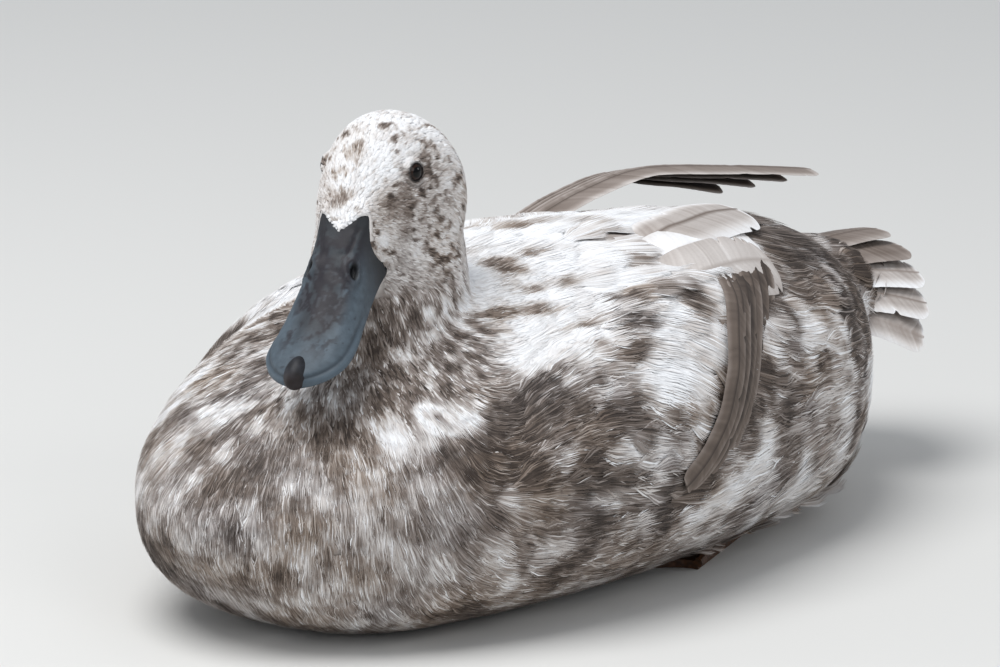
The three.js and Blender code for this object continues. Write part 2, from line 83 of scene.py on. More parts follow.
WING_FRONT_LOW, WING_FRONT_HIGH = (-80, 8), (-56, 46)
WING_REAR_LOW, WING_REAR_HIGH = (-12, -3), (92, 66)
STUMP = {"front": 160, "back": 212, "halfWidth": 36, "halfHeight": 17, "height": 74, "droop": 2}
STUMP_ROOF = 15
FAN = {"count": 9, "root": 172, "root_half_width": 22, "height": 81, "length": 55, "shorter": 0.34,
       "spread": 33,
       "roof": 29, "curve": 1.4, "arch": 2}
FOOT_AT, FOOT_TURN = (47, 44, 0), 6

# ------------------------------------------------------------------ sizes of the looks alone
COAT_DEPTH = {"body": 2.5, "neck": 1.5, "head": 0.45, "face": 0.1}
SKIN_VOXEL = 2.2
LID = {"half_wide": 2.8, "half_high": 2.95}
EYE_FORWARD, EYE_DOWN = 22, -2  # degrees between an eye's axis and the head's side
# How far the feathers of the face reach out over the bill: along its middle, and down each side.
FOREHEAD_WEDGE = {"reach": 7.6, "half_width": 9.3}
CHEEK_EDGE = [[0, -1], [1.6, 0.2], [5.2, 3.2], [9.4, 5.6], [14.7, 6.6], [19.2, 3.9], [23.2, 0.3], [27, -1.5]]


# ------------------------------------------------------------------ small tools
def profile(rows):
    """A smooth curve through the rows of a profile that never overshoots them."""
    xs, ys = np.array(rows, float).T
    rise = np.diff(ys) / np.diff(xs)
    slope = np.zeros(len(xs))
    same = rise[:-1] * rise[1:] > 0
    slope[1:-1][same] = (2 * rise[:-1] * rise[1:])[same] / (rise[:-1] + rise[1:])[same]

    def at(x):
        x = np.clip(x, xs[0], xs[-1])
        i = np.clip(np.searchsorted(xs, x, side="right") - 1, 0, len(xs) - 2)
        span = xs[i + 1] - xs[i]
        t = (x - xs[i]) / span
        ends = ys[i] * (1 + 2 * t) * (1 - t) ** 2 + ys[i + 1] * t * t * (3 - 2 * t)
        return ends + span * t * (1 - t) * (slope[i] * (1 - t) - slope[i + 1] * t)

    return at


def rounding(distance, reach):
    """0 at an end, growing as a quarter circle to 1 at the given distance in from it."""
    d = np.clip(np.asarray(distance, float) / reach, 0, 1)
    return np.sqrt(1 - (1 - d) ** 2)


def bent(value, exponent):
    return np.sign(value) * np.abs(value) ** (2 / exponent)


def mix(a, b, t):
    return a + (b - a) * t


def eased(low, high, x):
    t = np.clip((np.asarray(x, float) - low) / (high - low), 0, 1)
    return t * t * (3 - 2 * t)


def unit(v):
    return v / np.maximum(np.linalg.norm(v, axis=-1, keepdims=True), 1e-9)


def linear(colour):
    """An sRGB hex colour in linear light."""
    parts = np.array([int(colour[i:i + 2], 16) for i in (1, 3, 5)]) / 255
    return np.where(parts <= 0.04045, parts / 12.92, ((parts + 0.055) / 1.055) ** 2.4)


def moved(points, matrix):
    m = np.array(matrix)
    return points @ m[:3, :3].T + m[:3, 3]


def cloud(points, size, seed=0):
    """Smooth random values from 0 to 1 that change over about `size` millimetres."""
    q = np.asarray(points, float) / size + seed * 31.7
    cell = np.floor(q).astype(np.int64)
    t = q - cell
    t = t * t * (3 - 2 * t)
    total = np.zeros(len(q))
    for corner in product((0, 1), repeat=3):
        c = cell + np.array(corner)
        mixed = (c[:, 0] * 73856093) ^ (c[:, 1] * 19349663) ^ (c[:, 2] * 83492791) ^ (seed * 2654435)
        mixed = (mixed ^ (mixed >> 13)) * 1274126177
        value = ((mixed ^ (mixed >> 16)) & 0xFFFF) / 65535.0
        weight = np.prod(np.where(np.array(corner) == 1, t, 1 - t), axis=1)
        total += value * weight
    return total


def spread_cloud(points, size, seed=0):
    """A cloud with detail at half and a quarter of its size, stretched to fill 0 to 1."""
    sum_ = cloud(points, size, seed) * 0.55 + cloud(points, size / 2, seed + 1) * 0.3
    sum_ += cloud(points, size / 4, seed + 2) * 0.15
    return np.clip((sum_ - 0.5) * 1.9 + 0.5, 0, 1)


# ------------------------------------------------------------------ from millimetres to the frame
SHIFT = np.array([0.0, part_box("trunk")[0][1] * 1000 - (BREAST_Y + 0.8), 0.0])


def to_frame(points):
    return (np.asarray(points, float) + SHIFT) / 1000


def made_mesh(name, points, faces, colours=None, patch=None, normals=None):
    """A mesh object from arrays. Faces are rows of 3 or 4 points; the rest is given per point."""
    mesh = bpy.data.meshes.new(name)
    mesh.vertices.add(len(points))
    mesh.vertices.foreach_set("co", to_frame(points).astype(np.float32).ravel())
    corners = [np.asarray(f, np.int32) for f in (faces if isinstance(faces, list) else [faces]) if len(f)]
    flat = np.concatenate([f.ravel() for f in corners])
    sizes = np.concatenate([np.full(len(f), f.shape[1], np.int32) for f in corners])
    mesh.loops.add(len(flat))
    mesh.loops.foreach_set("vertex_index", flat)
    mesh.polygons.add(len(sizes))
    mesh.polygons.foreach_set("loop_start", np.concatenate([[0], np.cumsum(sizes)[:-1]]).astype(np.int32))
    mesh.polygons.foreach_set("use_smooth", np.full(len(sizes), True))
    mesh.update(calc_edges=True)
    if patch is not None:
        layer = mesh.uv_layers.new(name="OFBake")
        layer.data.foreach_set("uv", patch[flat].astype(np.float32).ravel())
    if colours is not None:
        paint(mesh, colours)
    if normals is not None:
        mesh.normals_split_custom_set_from_vertices(normals.astype(np.float32))
    made = bpy.data.objects.new(name, mesh)
    bpy.context.scene.collection.objects.link(made)
    return made


def paint(mesh, colours):
    layer = mesh.color_attributes.new("markings", "FLOAT_COLOR", "POINT")
    full = np.ones((len(colours), 4), np.float32)
    full[:, :3] = colours
    layer.data.foreach_set("color", full.ravel())


def sheet_faces(rows, columns, closed=True):
    """Quads over a grid of points. A closed grid joins its last column to its first."""
    r = np.arange(rows - 1)[:, None] * columns
    c = np.arange(columns if closed else columns - 1)[None, :]
    n = (c + 1) % columns
    return np.stack([r + c, r + n, r + columns + n, r + columns + c], -1).reshape(-1, 4)


def capped(rings):
    """Points and faces of a closed form over rings of points, with a fan at each end."""
    rings = np.asarray(rings, float)
    rows, columns = rings.shape[:2]
    points = np.concatenate([rings.reshape(-1, 3), rings[[0, -1]].mean(1)])
    c = np.arange(columns)
    n = (c + 1) % columns
    first = np.stack([np.full(columns, rows * columns), n, c], -1)
    last = (rows - 1) * columns
    end = np.stack([np.full(columns, rows * columns + 1), last + c, last + n], -1)
    return points, [sheet_faces(rows, columns), np.concatenate([first, end])]


def turns(count):
    return np.arange(count) / count * 2 * math.pi


def crowded(start, end, steps):
    return mix(start, end, (1 - np.cos(math.pi * np.arange(steps + 1) / steps)) / 2)


# ------------------------------------------------------------------ the forms, as in the solids
half_width, back_height = profile(HALF_WIDTH), profile(BACK_HEIGHT)
belly_height, widest_height = profile(BELLY_HEIGHT), profile(WIDEST_HEIGHT)


def trunk_sizes(y):
    plan = rounding(y - BREAST_Y, BREAST_ROUND["plan"]) * rounding(VENT_Y - y, VENT_ROUND["plan"])
    side = rounding(y - BREAST_Y, BREAST_ROUND["side"]) * rounding(VENT_Y - y, VENT_ROUND["side"])
    middle = widest_height(y)
    return half_width(y) * plan, (back_height(y) - middle) * side, (middle - belly_height(y)) * side, middle


def trunk_point(y, angle, lift=0.0):
    """The trunk's surface at y. The angle runs from its left side (0) up over the back (90 degrees)."""
    wide, up, down, middle = trunk_sizes(y)
    over = np.sin(angle) > 0
    boxy = np.where(over, 2.15, 2.7)
    x = bent(np.cos(angle), boxy) * (wide + lift)
    z = middle + bent(np.sin(angle), boxy) * (np.where(over, up, down) + lift)
    return np.stack(np.broadcast_arrays(x, y, z), -1)


def trunk_rings(lift):
    ys = crowded(BREAST_Y + 0.8, VENT_Y - 0.8, 60)
    rings = trunk_point(ys[:, None], turns(72)[None, :], lift)
    rings[..., 1] = crowded(BREAST_Y + 0.8 - lift, VENT_Y - 0.8 + lift, 60)[:, None]
    return rings


neck_middle, neck_wide, neck_deep = profile(NECK_MIDDLE), profile(NECK_HALF_WIDTH), profile(NECK_HALF_DEPTH)
neck_sway = profile([[NECK_BOTTOM, 0], [NECK_TOP, HEAD_AT[0] - 2]])


def neck_rings(lift):
    z, a = np.meshgrid(np.linspace(NECK_BOTTOM, NECK_TOP, 40), turns(48), indexing="ij")
    x = neck_sway(z) + np.cos(a) * (neck_wide(z) + lift)
    y = neck_middle(z) + np.sin(a) * (neck_deep(z) + lift)
    return np.stack([x, y, z], -1)


HEAD = (Matrix.Translation(HEAD_AT) @ Matrix.Rotation(math.radians(HEAD_TURN), 4, "Z")
        @ Matrix.Rotation(math.radians(HEAD_TILT), 4, "Y"))
head_crown, head_throat = profile(HEAD_CROWN), profile(HEAD_THROAT)
head_middle, head_wide = profile(HEAD_MIDDLE), profile(HEAD_HALF_WIDTH)


def head_rings(lift):
    """The head's rings in its own frame. lift is a function of Y, as the coat is thinner at the face."""
    ys = crowded(HEAD_FRONT + 0.2, HEAD_BACK - 0.2, 44)
    y, a = np.meshgrid(ys, turns(56), indexing="ij")
    ends = rounding(y - HEAD_FRONT, HEAD_ROUND["front"]) * rounding(HEAD_BACK - y, HEAD_ROUND["back"])
    middle = head_middle(y)
    reach = np.where(np.sin(a) > 0, head_crown(y) - middle, middle - head_throat(y))
    x = bent(np.cos(a), 2.2) * (head_wide(y) * ends + lift(y))
    z = middle + bent(np.sin(a), 2.2) * (reach * ends + lift(y))
    return np.stack([x, y - lift(y) * np.sign(y) * (ends < 0.4), z], -1)


billed, culmen, cheek_edge = profile(BILL_HALF_WIDTH), profile(CULMEN_HEIGHT), profile(CHEEK_EDGE)
BILL = (HEAD @ Matrix.Translation(BILL_AT) @ Matrix.Rotation(math.radians(BILL_YAW), 4, "Z")
        @ Matrix.Rotation(math.radians(BILL_SLOPE), 4, "X"))
TO_HEAD, TO_BILL = HEAD.inverted(), BILL.inverted()


def bill_boxy(d):
    return mix(4.4, 2.1, np.clip(d / BILL_BOXY_UNTIL, 0, 1))


def bill_section(q):
    """How far out points of the bill's frame lie in its section: 1 on its surface."""
    d = -q[:, 1]
    boxy = bill_boxy(d)
    share = (np.abs(q[:, 0]) / billed(d)) ** boxy + (np.abs(q[:, 2]) / culmen(d)) ** boxy
    return share ** (1 / boxy)


def feather_edge(x, z):
    """How far along the bill the feathers of the face reach, over its top and down its sides."""
    wedge = FOREHEAD_WEDGE["reach"] * (1 - np.abs(x) / FOREHEAD_WEDGE["half_width"])
    return np.maximum(wedge, cheek_edge(np.abs(z)) * (np.abs(x) > 8.2) - 2 * (np.abs(x) <= 8.2))


def bill_core_rings(lift):
    """The flesh under the bill's base, which carries the forehead's feathers down in a wedge."""
    d, a = np.meshgrid(np.linspace(-5, 13, 14), turns(40), indexing="ij")
    boxy = bill_boxy(d)
    x = bent(np.cos(a), boxy) * (billed(d) + lift)
    z = bent(np.sin(a), boxy) * np.where(np.sin(a) > 0, culmen(d) + lift, 0.3)
    return np.stack([x, -d, z + 0.8], -1)


def stump_rings(lift):
    back = STUMP["back"]
    y, a = np.meshgrid(crowded(STUMP["front"], back - 0.3, 20), turns(36), indexing="ij")
    end = rounding(back - y, back - STUMP["front"])
    x = np.cos(a) * (STUMP["halfWidth"] * end + lift)
    middle = STUMP["height"] - STUMP["droop"] * (y - STUMP["front"]) / (back - STUMP["front"])
    middle = middle - STUMP_ROOF * (x / STUMP["halfWidth"]) ** 2
    return np.stack([x, y + lift * (end < 0.3), middle + np.sin(a) * (STUMP["halfHeight"] * end + lift)], -1)


def wing_spot(s, t):
    ends = [mix(mix(WING_FRONT_LOW[k], WING_REAR_LOW[k], s), mix(WING_FRONT_HIGH[k], WING_REAR_HIGH[k], s), t)
            for k in (0, 1)]
    return ends[0], np.radians(ends[1])


def wing_point(side, s, t, lift):
    point = trunk_point(*wing_spot(s, t), lift)
    point[..., 0] *= side
    return point


def wing_rings(side, proud):
    """The mound that the folded wing makes over the flank."""
    s, t = np.meshgrid(np.linspace(0, 1, 36), np.linspace(0, 1, 30), indexing="ij")
    edge = rounding(s, 0.35) * rounding(t, 0.3) * rounding(1 - t, 0.3) * mix(1, 0.75, s)
    outer = wing_point(side, s, t, proud * edge - COAT_DEPTH["body"] + 0.5)
    inner = wing_point(side, s, t, -COAT_DEPTH["body"] - 6)[:, ::-1]
    rings = np.concatenate([outer, inner], 1)
    return rings if side > 0 else rings[:, ::-1]


# ------------------------------------------------------------------ the skin
def head_lift(y):
    return -mix(COAT_DEPTH["face"], COAT_DEPTH["head"], eased(-22, -6, y))


def skin_mesh():
    """One closed skin over every form of flesh, with no seam, from their joined volume."""
    forms = [trunk_rings(-COAT_DEPTH["body"]), neck_rings(-COAT_DEPTH["neck"]),
             moved(head_rings(head_lift), HEAD), stump_rings(-COAT_DEPTH["body"] + 1)]
    forms += [wing_rings(side, 5.5) for side in (1, -1)]
    forms.append(moved(bill_core_rings(-0.9), BILL))
    points, quads, fans, count = [], [], [], 0
    for rings in forms:
        p, (q, f) = capped(rings)
        points.append(p)
        quads.append(q + count)
        fans.append(f + count)
        count += len(p)
    rough = made_mesh("skin", np.concatenate(points), [np.concatenate(quads), np.concatenate(fans)])
    volume = rough.modifiers.new("joined", "REMESH")
    volume.mode = "VOXEL"
    volume.voxel_size = SKIN_VOXEL / 1000
    relax = rough.modifiers.new("relaxed", "SMOOTH")
    relax.factor, relax.iterations = 0.5, 8
    depsgraph = bpy.context.evaluated_depsgraph_get()
    mesh = bpy.data.meshes.new_from_object(rough.evaluated_get(depsgraph))
    rough.modifiers.clear()
    rough.data = mesh
    return rough


def grabbed(mesh):
    """The points of a mesh back in millimetres, in the duck's own coordinates."""
    co = np.empty(len(mesh.vertices) * 3, np.float32)
    mesh.vertices.foreach_get("co", co)
    return co.reshape(-1, 3).astype(float) * 1000 - SHIFT


def set_points(mesh, points):
    mesh.vertices.foreach_set("co", to_frame(points).astype(np.float32).ravel())
    mesh.update()


def bay_roof(points):
    """How high the hollow over each tucked leg reaches."""
    roof = np.zeros(len(points))
    for side in (1, -1):
        place = Matrix.Translation((side * FOOT_AT[0], FOOT_AT[1], 0)) @ Matrix.Rotation(
            math.radians(side * FOOT_TURN), 4, "Z")
        q = moved(points, place.inverted())
        inside = eased(25, 19, np.abs(q[:, 0] - side * 2)) * eased(62, 54, np.abs(q[:, 1] - 34))
        roof = np.maximum(roof, 15.5 * inside)
    return roof


def eye_axes(side):
    """An eye's own axes in the head's frame: out of it, rearward along its lids, and up."""
    forward, down = math.radians(EYE_FORWARD), math.radians(EYE_DOWN)
    out = np.array([side * math.cos(forward) * math.cos(down),
                    -math.sin(forward) * math.cos(down), -math.sin(down)])
    rear = unit(np.array([side * math.sin(forward), math.cos(forward), 0.16]))
    rear = unit(rear - out * (rear @ out))
    up = np.cross(out, rear) * side
    return np.stack([out, rear, up if up[2] > 0 else -up])


def in_eye(q, side):
    """Points of the head's frame as (out, rear, up) from the middle of an eye."""
    return (q - np.array([side * EYE_SIDE, 0, 0])) @ eye_axes(side).T


def lid_share(q, side):
    """How far points of the head's frame lie from an eye's middle, in shares of its opening."""
    e = in_eye(q, side)
    share = np.sqrt((e[:, 1] / LID["half_wide"]) ** 2 + (e[:, 2] / LID["half_high"]) ** 2)
    return np.where(e[:, 0] > -1, share, 99.0)


def shape_lids(points):
    """Pulls the skin round each eye onto the eyeball as two lids with a fold behind them."""
    q = moved(points, TO_HEAD)
    for side in (1, -1):
        e, share = in_eye(q, side), lid_share(q, side)
        away = np.hypot(e[:, 1], e[:, 2])
        ball = np.sqrt(np.maximum(EYE_RADIUS ** 2 - np.minimum(away, 5.2) ** 2, 0))
        lid = ball + 0.3 + 0.3 * np.exp(-((share - 1.12) / 0.12) ** 2)
        held = mix(lid, e[:, 0], eased(1.25, 2.5, share))
        held = held - 0.3 * np.exp(-((share - 1.5) / 0.14) ** 2)
        depth = np.where(share < 1.05, mix(ball - 1.6, lid, eased(0.9, 1.04, share)), held)
        e[:, 0] = np.where(share < 2.5, depth, e[:, 0])
        q = np.where((share < 2.5)[:, None], e @ eye_axes(side) + np.array([side * EYE_SIDE, 0, 0]), q)
    return moved(q, HEAD)


def cover_bill_base(points):
    """Raises the skin out over the bill's base as far as the face's feathers reach."""
    q = moved(points, TO_BILL)
    d = -q[:, 1]
    section = bill_section(q)
    near = (d > -4.5) & (d < 11) & (section < 1.06) & (section > 0.5) & (q[:, 2] > 0.6)
    cover = eased(-0.5, 0.5, feather_edge(q[:, 0], q[:, 2]) - d) * near
    out = 1 + 0.5 / np.hypot(q[:, 0], q[:, 2])
    under = np.where(section > 0.985, 0.96, section)
    grow = mix(np.where(near & (d > 0), under, section), np.maximum(section, out), cover) / section
    q[:, 0] *= grow
    q[:, 2] *= grow
    return moved(q, BILL)


skin = skin_mesh()
fine_at = [np.array(HEAD @ Vector(tuple(np.array([side * EYE_SIDE, 0, 0]) + 4.5 * eye_axes(side)[0])))
           for side in (1, -1)]
fine_at += [np.array(BILL @ Vector((x, -d, z)))
            for x, d, z in ((0, 2, 21), (8, 3, 20), (-8, 3, 20), (10, 4, 8), (-10, 4, 8))]
for cuts, reach in ((1, 9.5), (1, 8.0)):
    fine = bmesh.new()
    fine.from_mesh(skin.data)
    here = [Vector(to_frame(at)) for at in fine_at]
    edges = [e for e in fine.edges if min((e.verts[0].co - at).length for at in here) < reach / 1000]
    bmesh.ops.subdivide_edges(fine, edges=edges, cuts=cuts, use_grid_fill=True, smooth=0.0)
    bmesh.ops.triangulate(fine, faces=[f for f in fine.faces if len(f.verts) > 4])
    fine.to_mesh(skin.data)
    fine.free()
skin_points = grabbed(skin.data)
skin_points[:, 2] = np.maximum(skin_points[:, 2], bay_roof(skin_points))
skin_points[:, 2] = np.maximum(skin_points[:, 2], 0.1)
skin_points = cover_bill_base(shape_lids(skin_points))
set_points(skin.data, skin_points)
print("skin points", len(skin_points), "faces", len(skin.data.polygons))

# ------------------------------------------------------------------ the lie of the plumage
skin.data.calc_loop_triangles()
corner_rows = np.empty(len(skin.data.loop_triangles) * 3, np.int32)
skin.data.loop_triangles.foreach_get("vertices", corner_rows)
skin_faces = corner_rows.reshape(-1, 3)
skin_tree = BVHTree.FromPolygons(skin_points.tolist(), skin_faces.tolist())
a, b, c = (skin_points[skin_faces[:, k]] for k in range(3))
face_cross = np.cross(b - a, c - a)
face_area = np.linalg.norm(face_cross, axis=1) / 2
point_normal = np.zeros_like(skin_points)
for k in range(3):
    np.add.at(point_normal, skin_faces[:, k], face_cross)
point_normal = unit(point_normal)
face_normal = unit(point_normal[skin_faces].sum(1))


def nearest(points):
    """The nearest places on the skin and the way out of it there."""
    found = np.empty_like(points)
    index = np.empty(len(points), np.int64)
    for i, p in enumerate(points.tolist()):
        place, _, face, _ = skin_tree.find_nearest(p)
        found[i] = place
        index[i] = face
    return found, face_normal[index]


def neck_share(points):
    """1 on the neck, falling to 0 where it has spread into the trunk."""
    z = points[:, 2]
    x = (points[:, 0] - neck_sway(z)) / (neck_wide(z) + 14)
    y = (points[:, 1] - neck_middle(z)) / (neck_deep(z) + 14)
    return eased(60, 92, z) * eased(1.25, 0.95, np.hypot(x, y))


def head_share(points):
    q = moved(points, TO_HEAD)
    inside = eased(-47, -36, q[:, 2]) * eased(56, 44, q[:, 1]) * (np.abs(q[:, 0]) < 32)
    return inside


def wing_place(points):
    """(s, t) of each point on the folded wings: s runs rearward and t from the low edge up."""
    wide, up, down, middle = trunk_sizes(points[:, 1])
    rise = points[:, 2] - middle
    over = rise > 0
    tall = np.where(over, up, down) + 1
    power = np.where(over, 2.15, 2.7) / 2
    sine = np.clip(np.abs(rise) / tall, 0, 1.3) ** power * np.sign(rise)
    cosine = np.clip(np.abs(points[:, 0]) / (wide + 1), 0, 1.3) ** power
    degrees = np.degrees(np.arctan2(sine, cosine))
    s, t = np.full(len(points), 0.5), np.full(len(points), 0.5)
    corners = [np.array(k, float) for k in (WING_FRONT_LOW, WING_FRONT_HIGH, WING_REAR_LOW, WING_REAR_HIGH)]
    low0, high0, low1, high1 = corners
    for _ in range(6):
        at = mix(mix(low0, low1, s[:, None]), mix(high0, high1, s[:, None]), t[:, None])
        by_s = mix(low1 - low0, high1 - high0, t[:, None])
        by_t = mix(high0 - low0, high1 - low1, s[:, None])
        miss = np.stack([points[:, 1], degrees], -1) - at
        det = by_s[:, 0] * by_t[:, 1] - by_s[:, 1] * by_t[:, 0]
        s = np.clip(s + (miss[:, 0] * by_t[:, 1] - miss[:, 1] * by_t[:, 0]) / det, -1, 2)
        t = np.clip(t + (by_s[:, 0] * miss[:, 1] - by_s[:, 1] * miss[:, 0]) / det, -1, 2)
    # the belly and the breast lie outside the wings
    t[(points[:, 2] < 16) | (points[:, 1] < -100)] = -1
    return s, t


def wing_share(points):
    s, t = wing_place(points)
    return eased(-0.1, 0.08, s) * eased(1.12, 0.98, s) * eased(-0.06, 0.06, t) * eased(1.06, 0.94, t)


def lie(points, outward):
    """The way that the feathers point at each place: from the bill back over the head, down the
    neck, out over the breast from the neck's foot, and rearward over the rest."""
    n = len(points)
    x, y, z = points.T
    way = np.tile([0.0, 1.0, 0.0], (n, 1))
    way[:, 2] = 0.22 * eased(60, 20, z) * eased(-150, -40, y) - 0.25 * eased(90, 120, z)
    # out from the foot of the neck over the breast and shoulders
    foot = np.array([0.0, -62.0, 105.0])
    away = points - foot
    away[:, 2] *= 1.1
    near = eased(150, 45, np.linalg.norm(away * [1, 1, 1], axis=1)) * eased(20, -70, y)
    front = eased(-60, -150, y)
    down = unit(away) + np.stack([0 * x, 0.35 + 0 * x, -0.35 * front], -1)
    way = mix(way, down, np.clip(near + 0.85 * front, 0, 1)[:, None])
    # over the folded wings: up round the shoulder, level on the back, drooping at their rear
    s, t = wing_place(points)
    around = np.cross(np.array([0.0, 1.0, 0.0]), outward) * np.sign(x)[:, None]
    droop = mix(-0.15, 0.3, eased(-0.2, 0.6, s)) + 0.65 * eased(0.35, 0.85, s) * eased(0.12, 0.5, t)
    droop -= 0.25 * eased(0.25, 0.0, t)
    over = eased(-0.35, 0.05, s) * eased(1.5, 1.1, s) * eased(-0.15, 0.1, t) * eased(10, 26, np.abs(x))
    wing_way = np.array([0.0, 1.0, 0.0]) + around * droop[:, None]
    way = mix(way, wing_way, (over * (1 - 0.6 * front))[:, None])
    # down the neck
    neck = neck_share(points)
    nape = eased(-75, -35, y)
    fall = np.stack([0.15 * x / 30, 0.1 + 0.9 * nape, -1.0 + 0.2 * nape], -1)
    way = mix(way, fall, neck[:, None])
    # back over the head and down its rear
    q = moved(points, TO_HEAD)
    rear = eased(8, 42, q[:, 1])
    cheek = eased(2, -26, q[:, 2])
    local = np.stack([0.18 * np.sign(q[:, 0]) * cheek, 1.0 - 0.55 * rear, -0.45 * cheek - 1.15 * rear], -1)
    over = local @ np.array(HEAD)[:3, :3].T
    way = mix(way, over, head_share(points)[:, None])
    way = way - outward * np.sum(way * outward, axis=1, keepdims=True)
    return unit(way)


trunk_length = profile([[-165, 10], [-110, 11.5], [-40, 14], [40, 18], [120, 20], [196, 19]])
head_length = profile([[-31, 2.3], [-18, 2.8], [0, 3.4], [20, 4.6], [45, 6.5]])


def plume_length(points):
    """How long a feather grows at each place, in millimetres."""
    _, y, z = points.T
    size = trunk_length(y)
    back = eased(60, 92, z) * eased(-60, 10, y)
    size = mix(size, 24, back * eased(200, 150, y))
    foot = np.linalg.norm(points - np.array([0.0, -70.0, 92.0]), axis=1)
    size = mix(size, 10, eased(95, 40, foot))
    s, _ = wing_place(points)
    size = mix(size, mix(13, 25, np.clip(s, 0, 1)), wing_share(points))
    size = mix(size, mix(9, 6.2, eased(80, 120, z)), neck_share(points))
    q = moved(points, TO_HEAD)
    return mix(size, head_length(q[:, 1]), head_share(points))

# ------------------------------------------------------------------ markings, for skin and coat alike
SHADES = {"white": "#f4f5f7", "pale": "#cfc9c5", "brown": "#968b84", "umber": "#685b52", "dark": "#352b25"}
SHADE_STEPS = [0.0, 0.28, 0.52, 0.76, 1.0]
SHADE_TABLE = np.array([linear(SHADES[k]) for k in ("white", "pale", "brown", "umber", "dark")])

# The marks of the plumage are given as they lie in a view of the duck from its left front. The camera
# looks the same way, from as far. VIEW says where the view's eye is, in degrees and millimetres, how
# many steps of the view a millimetre takes at the aim, and where the aim lies across and down.
VIEW = {"turn": 40, "rise": 14, "distance": 3000, "aim": [0, 0, 60], "steps": 2.78, "middle": [491, 400]}

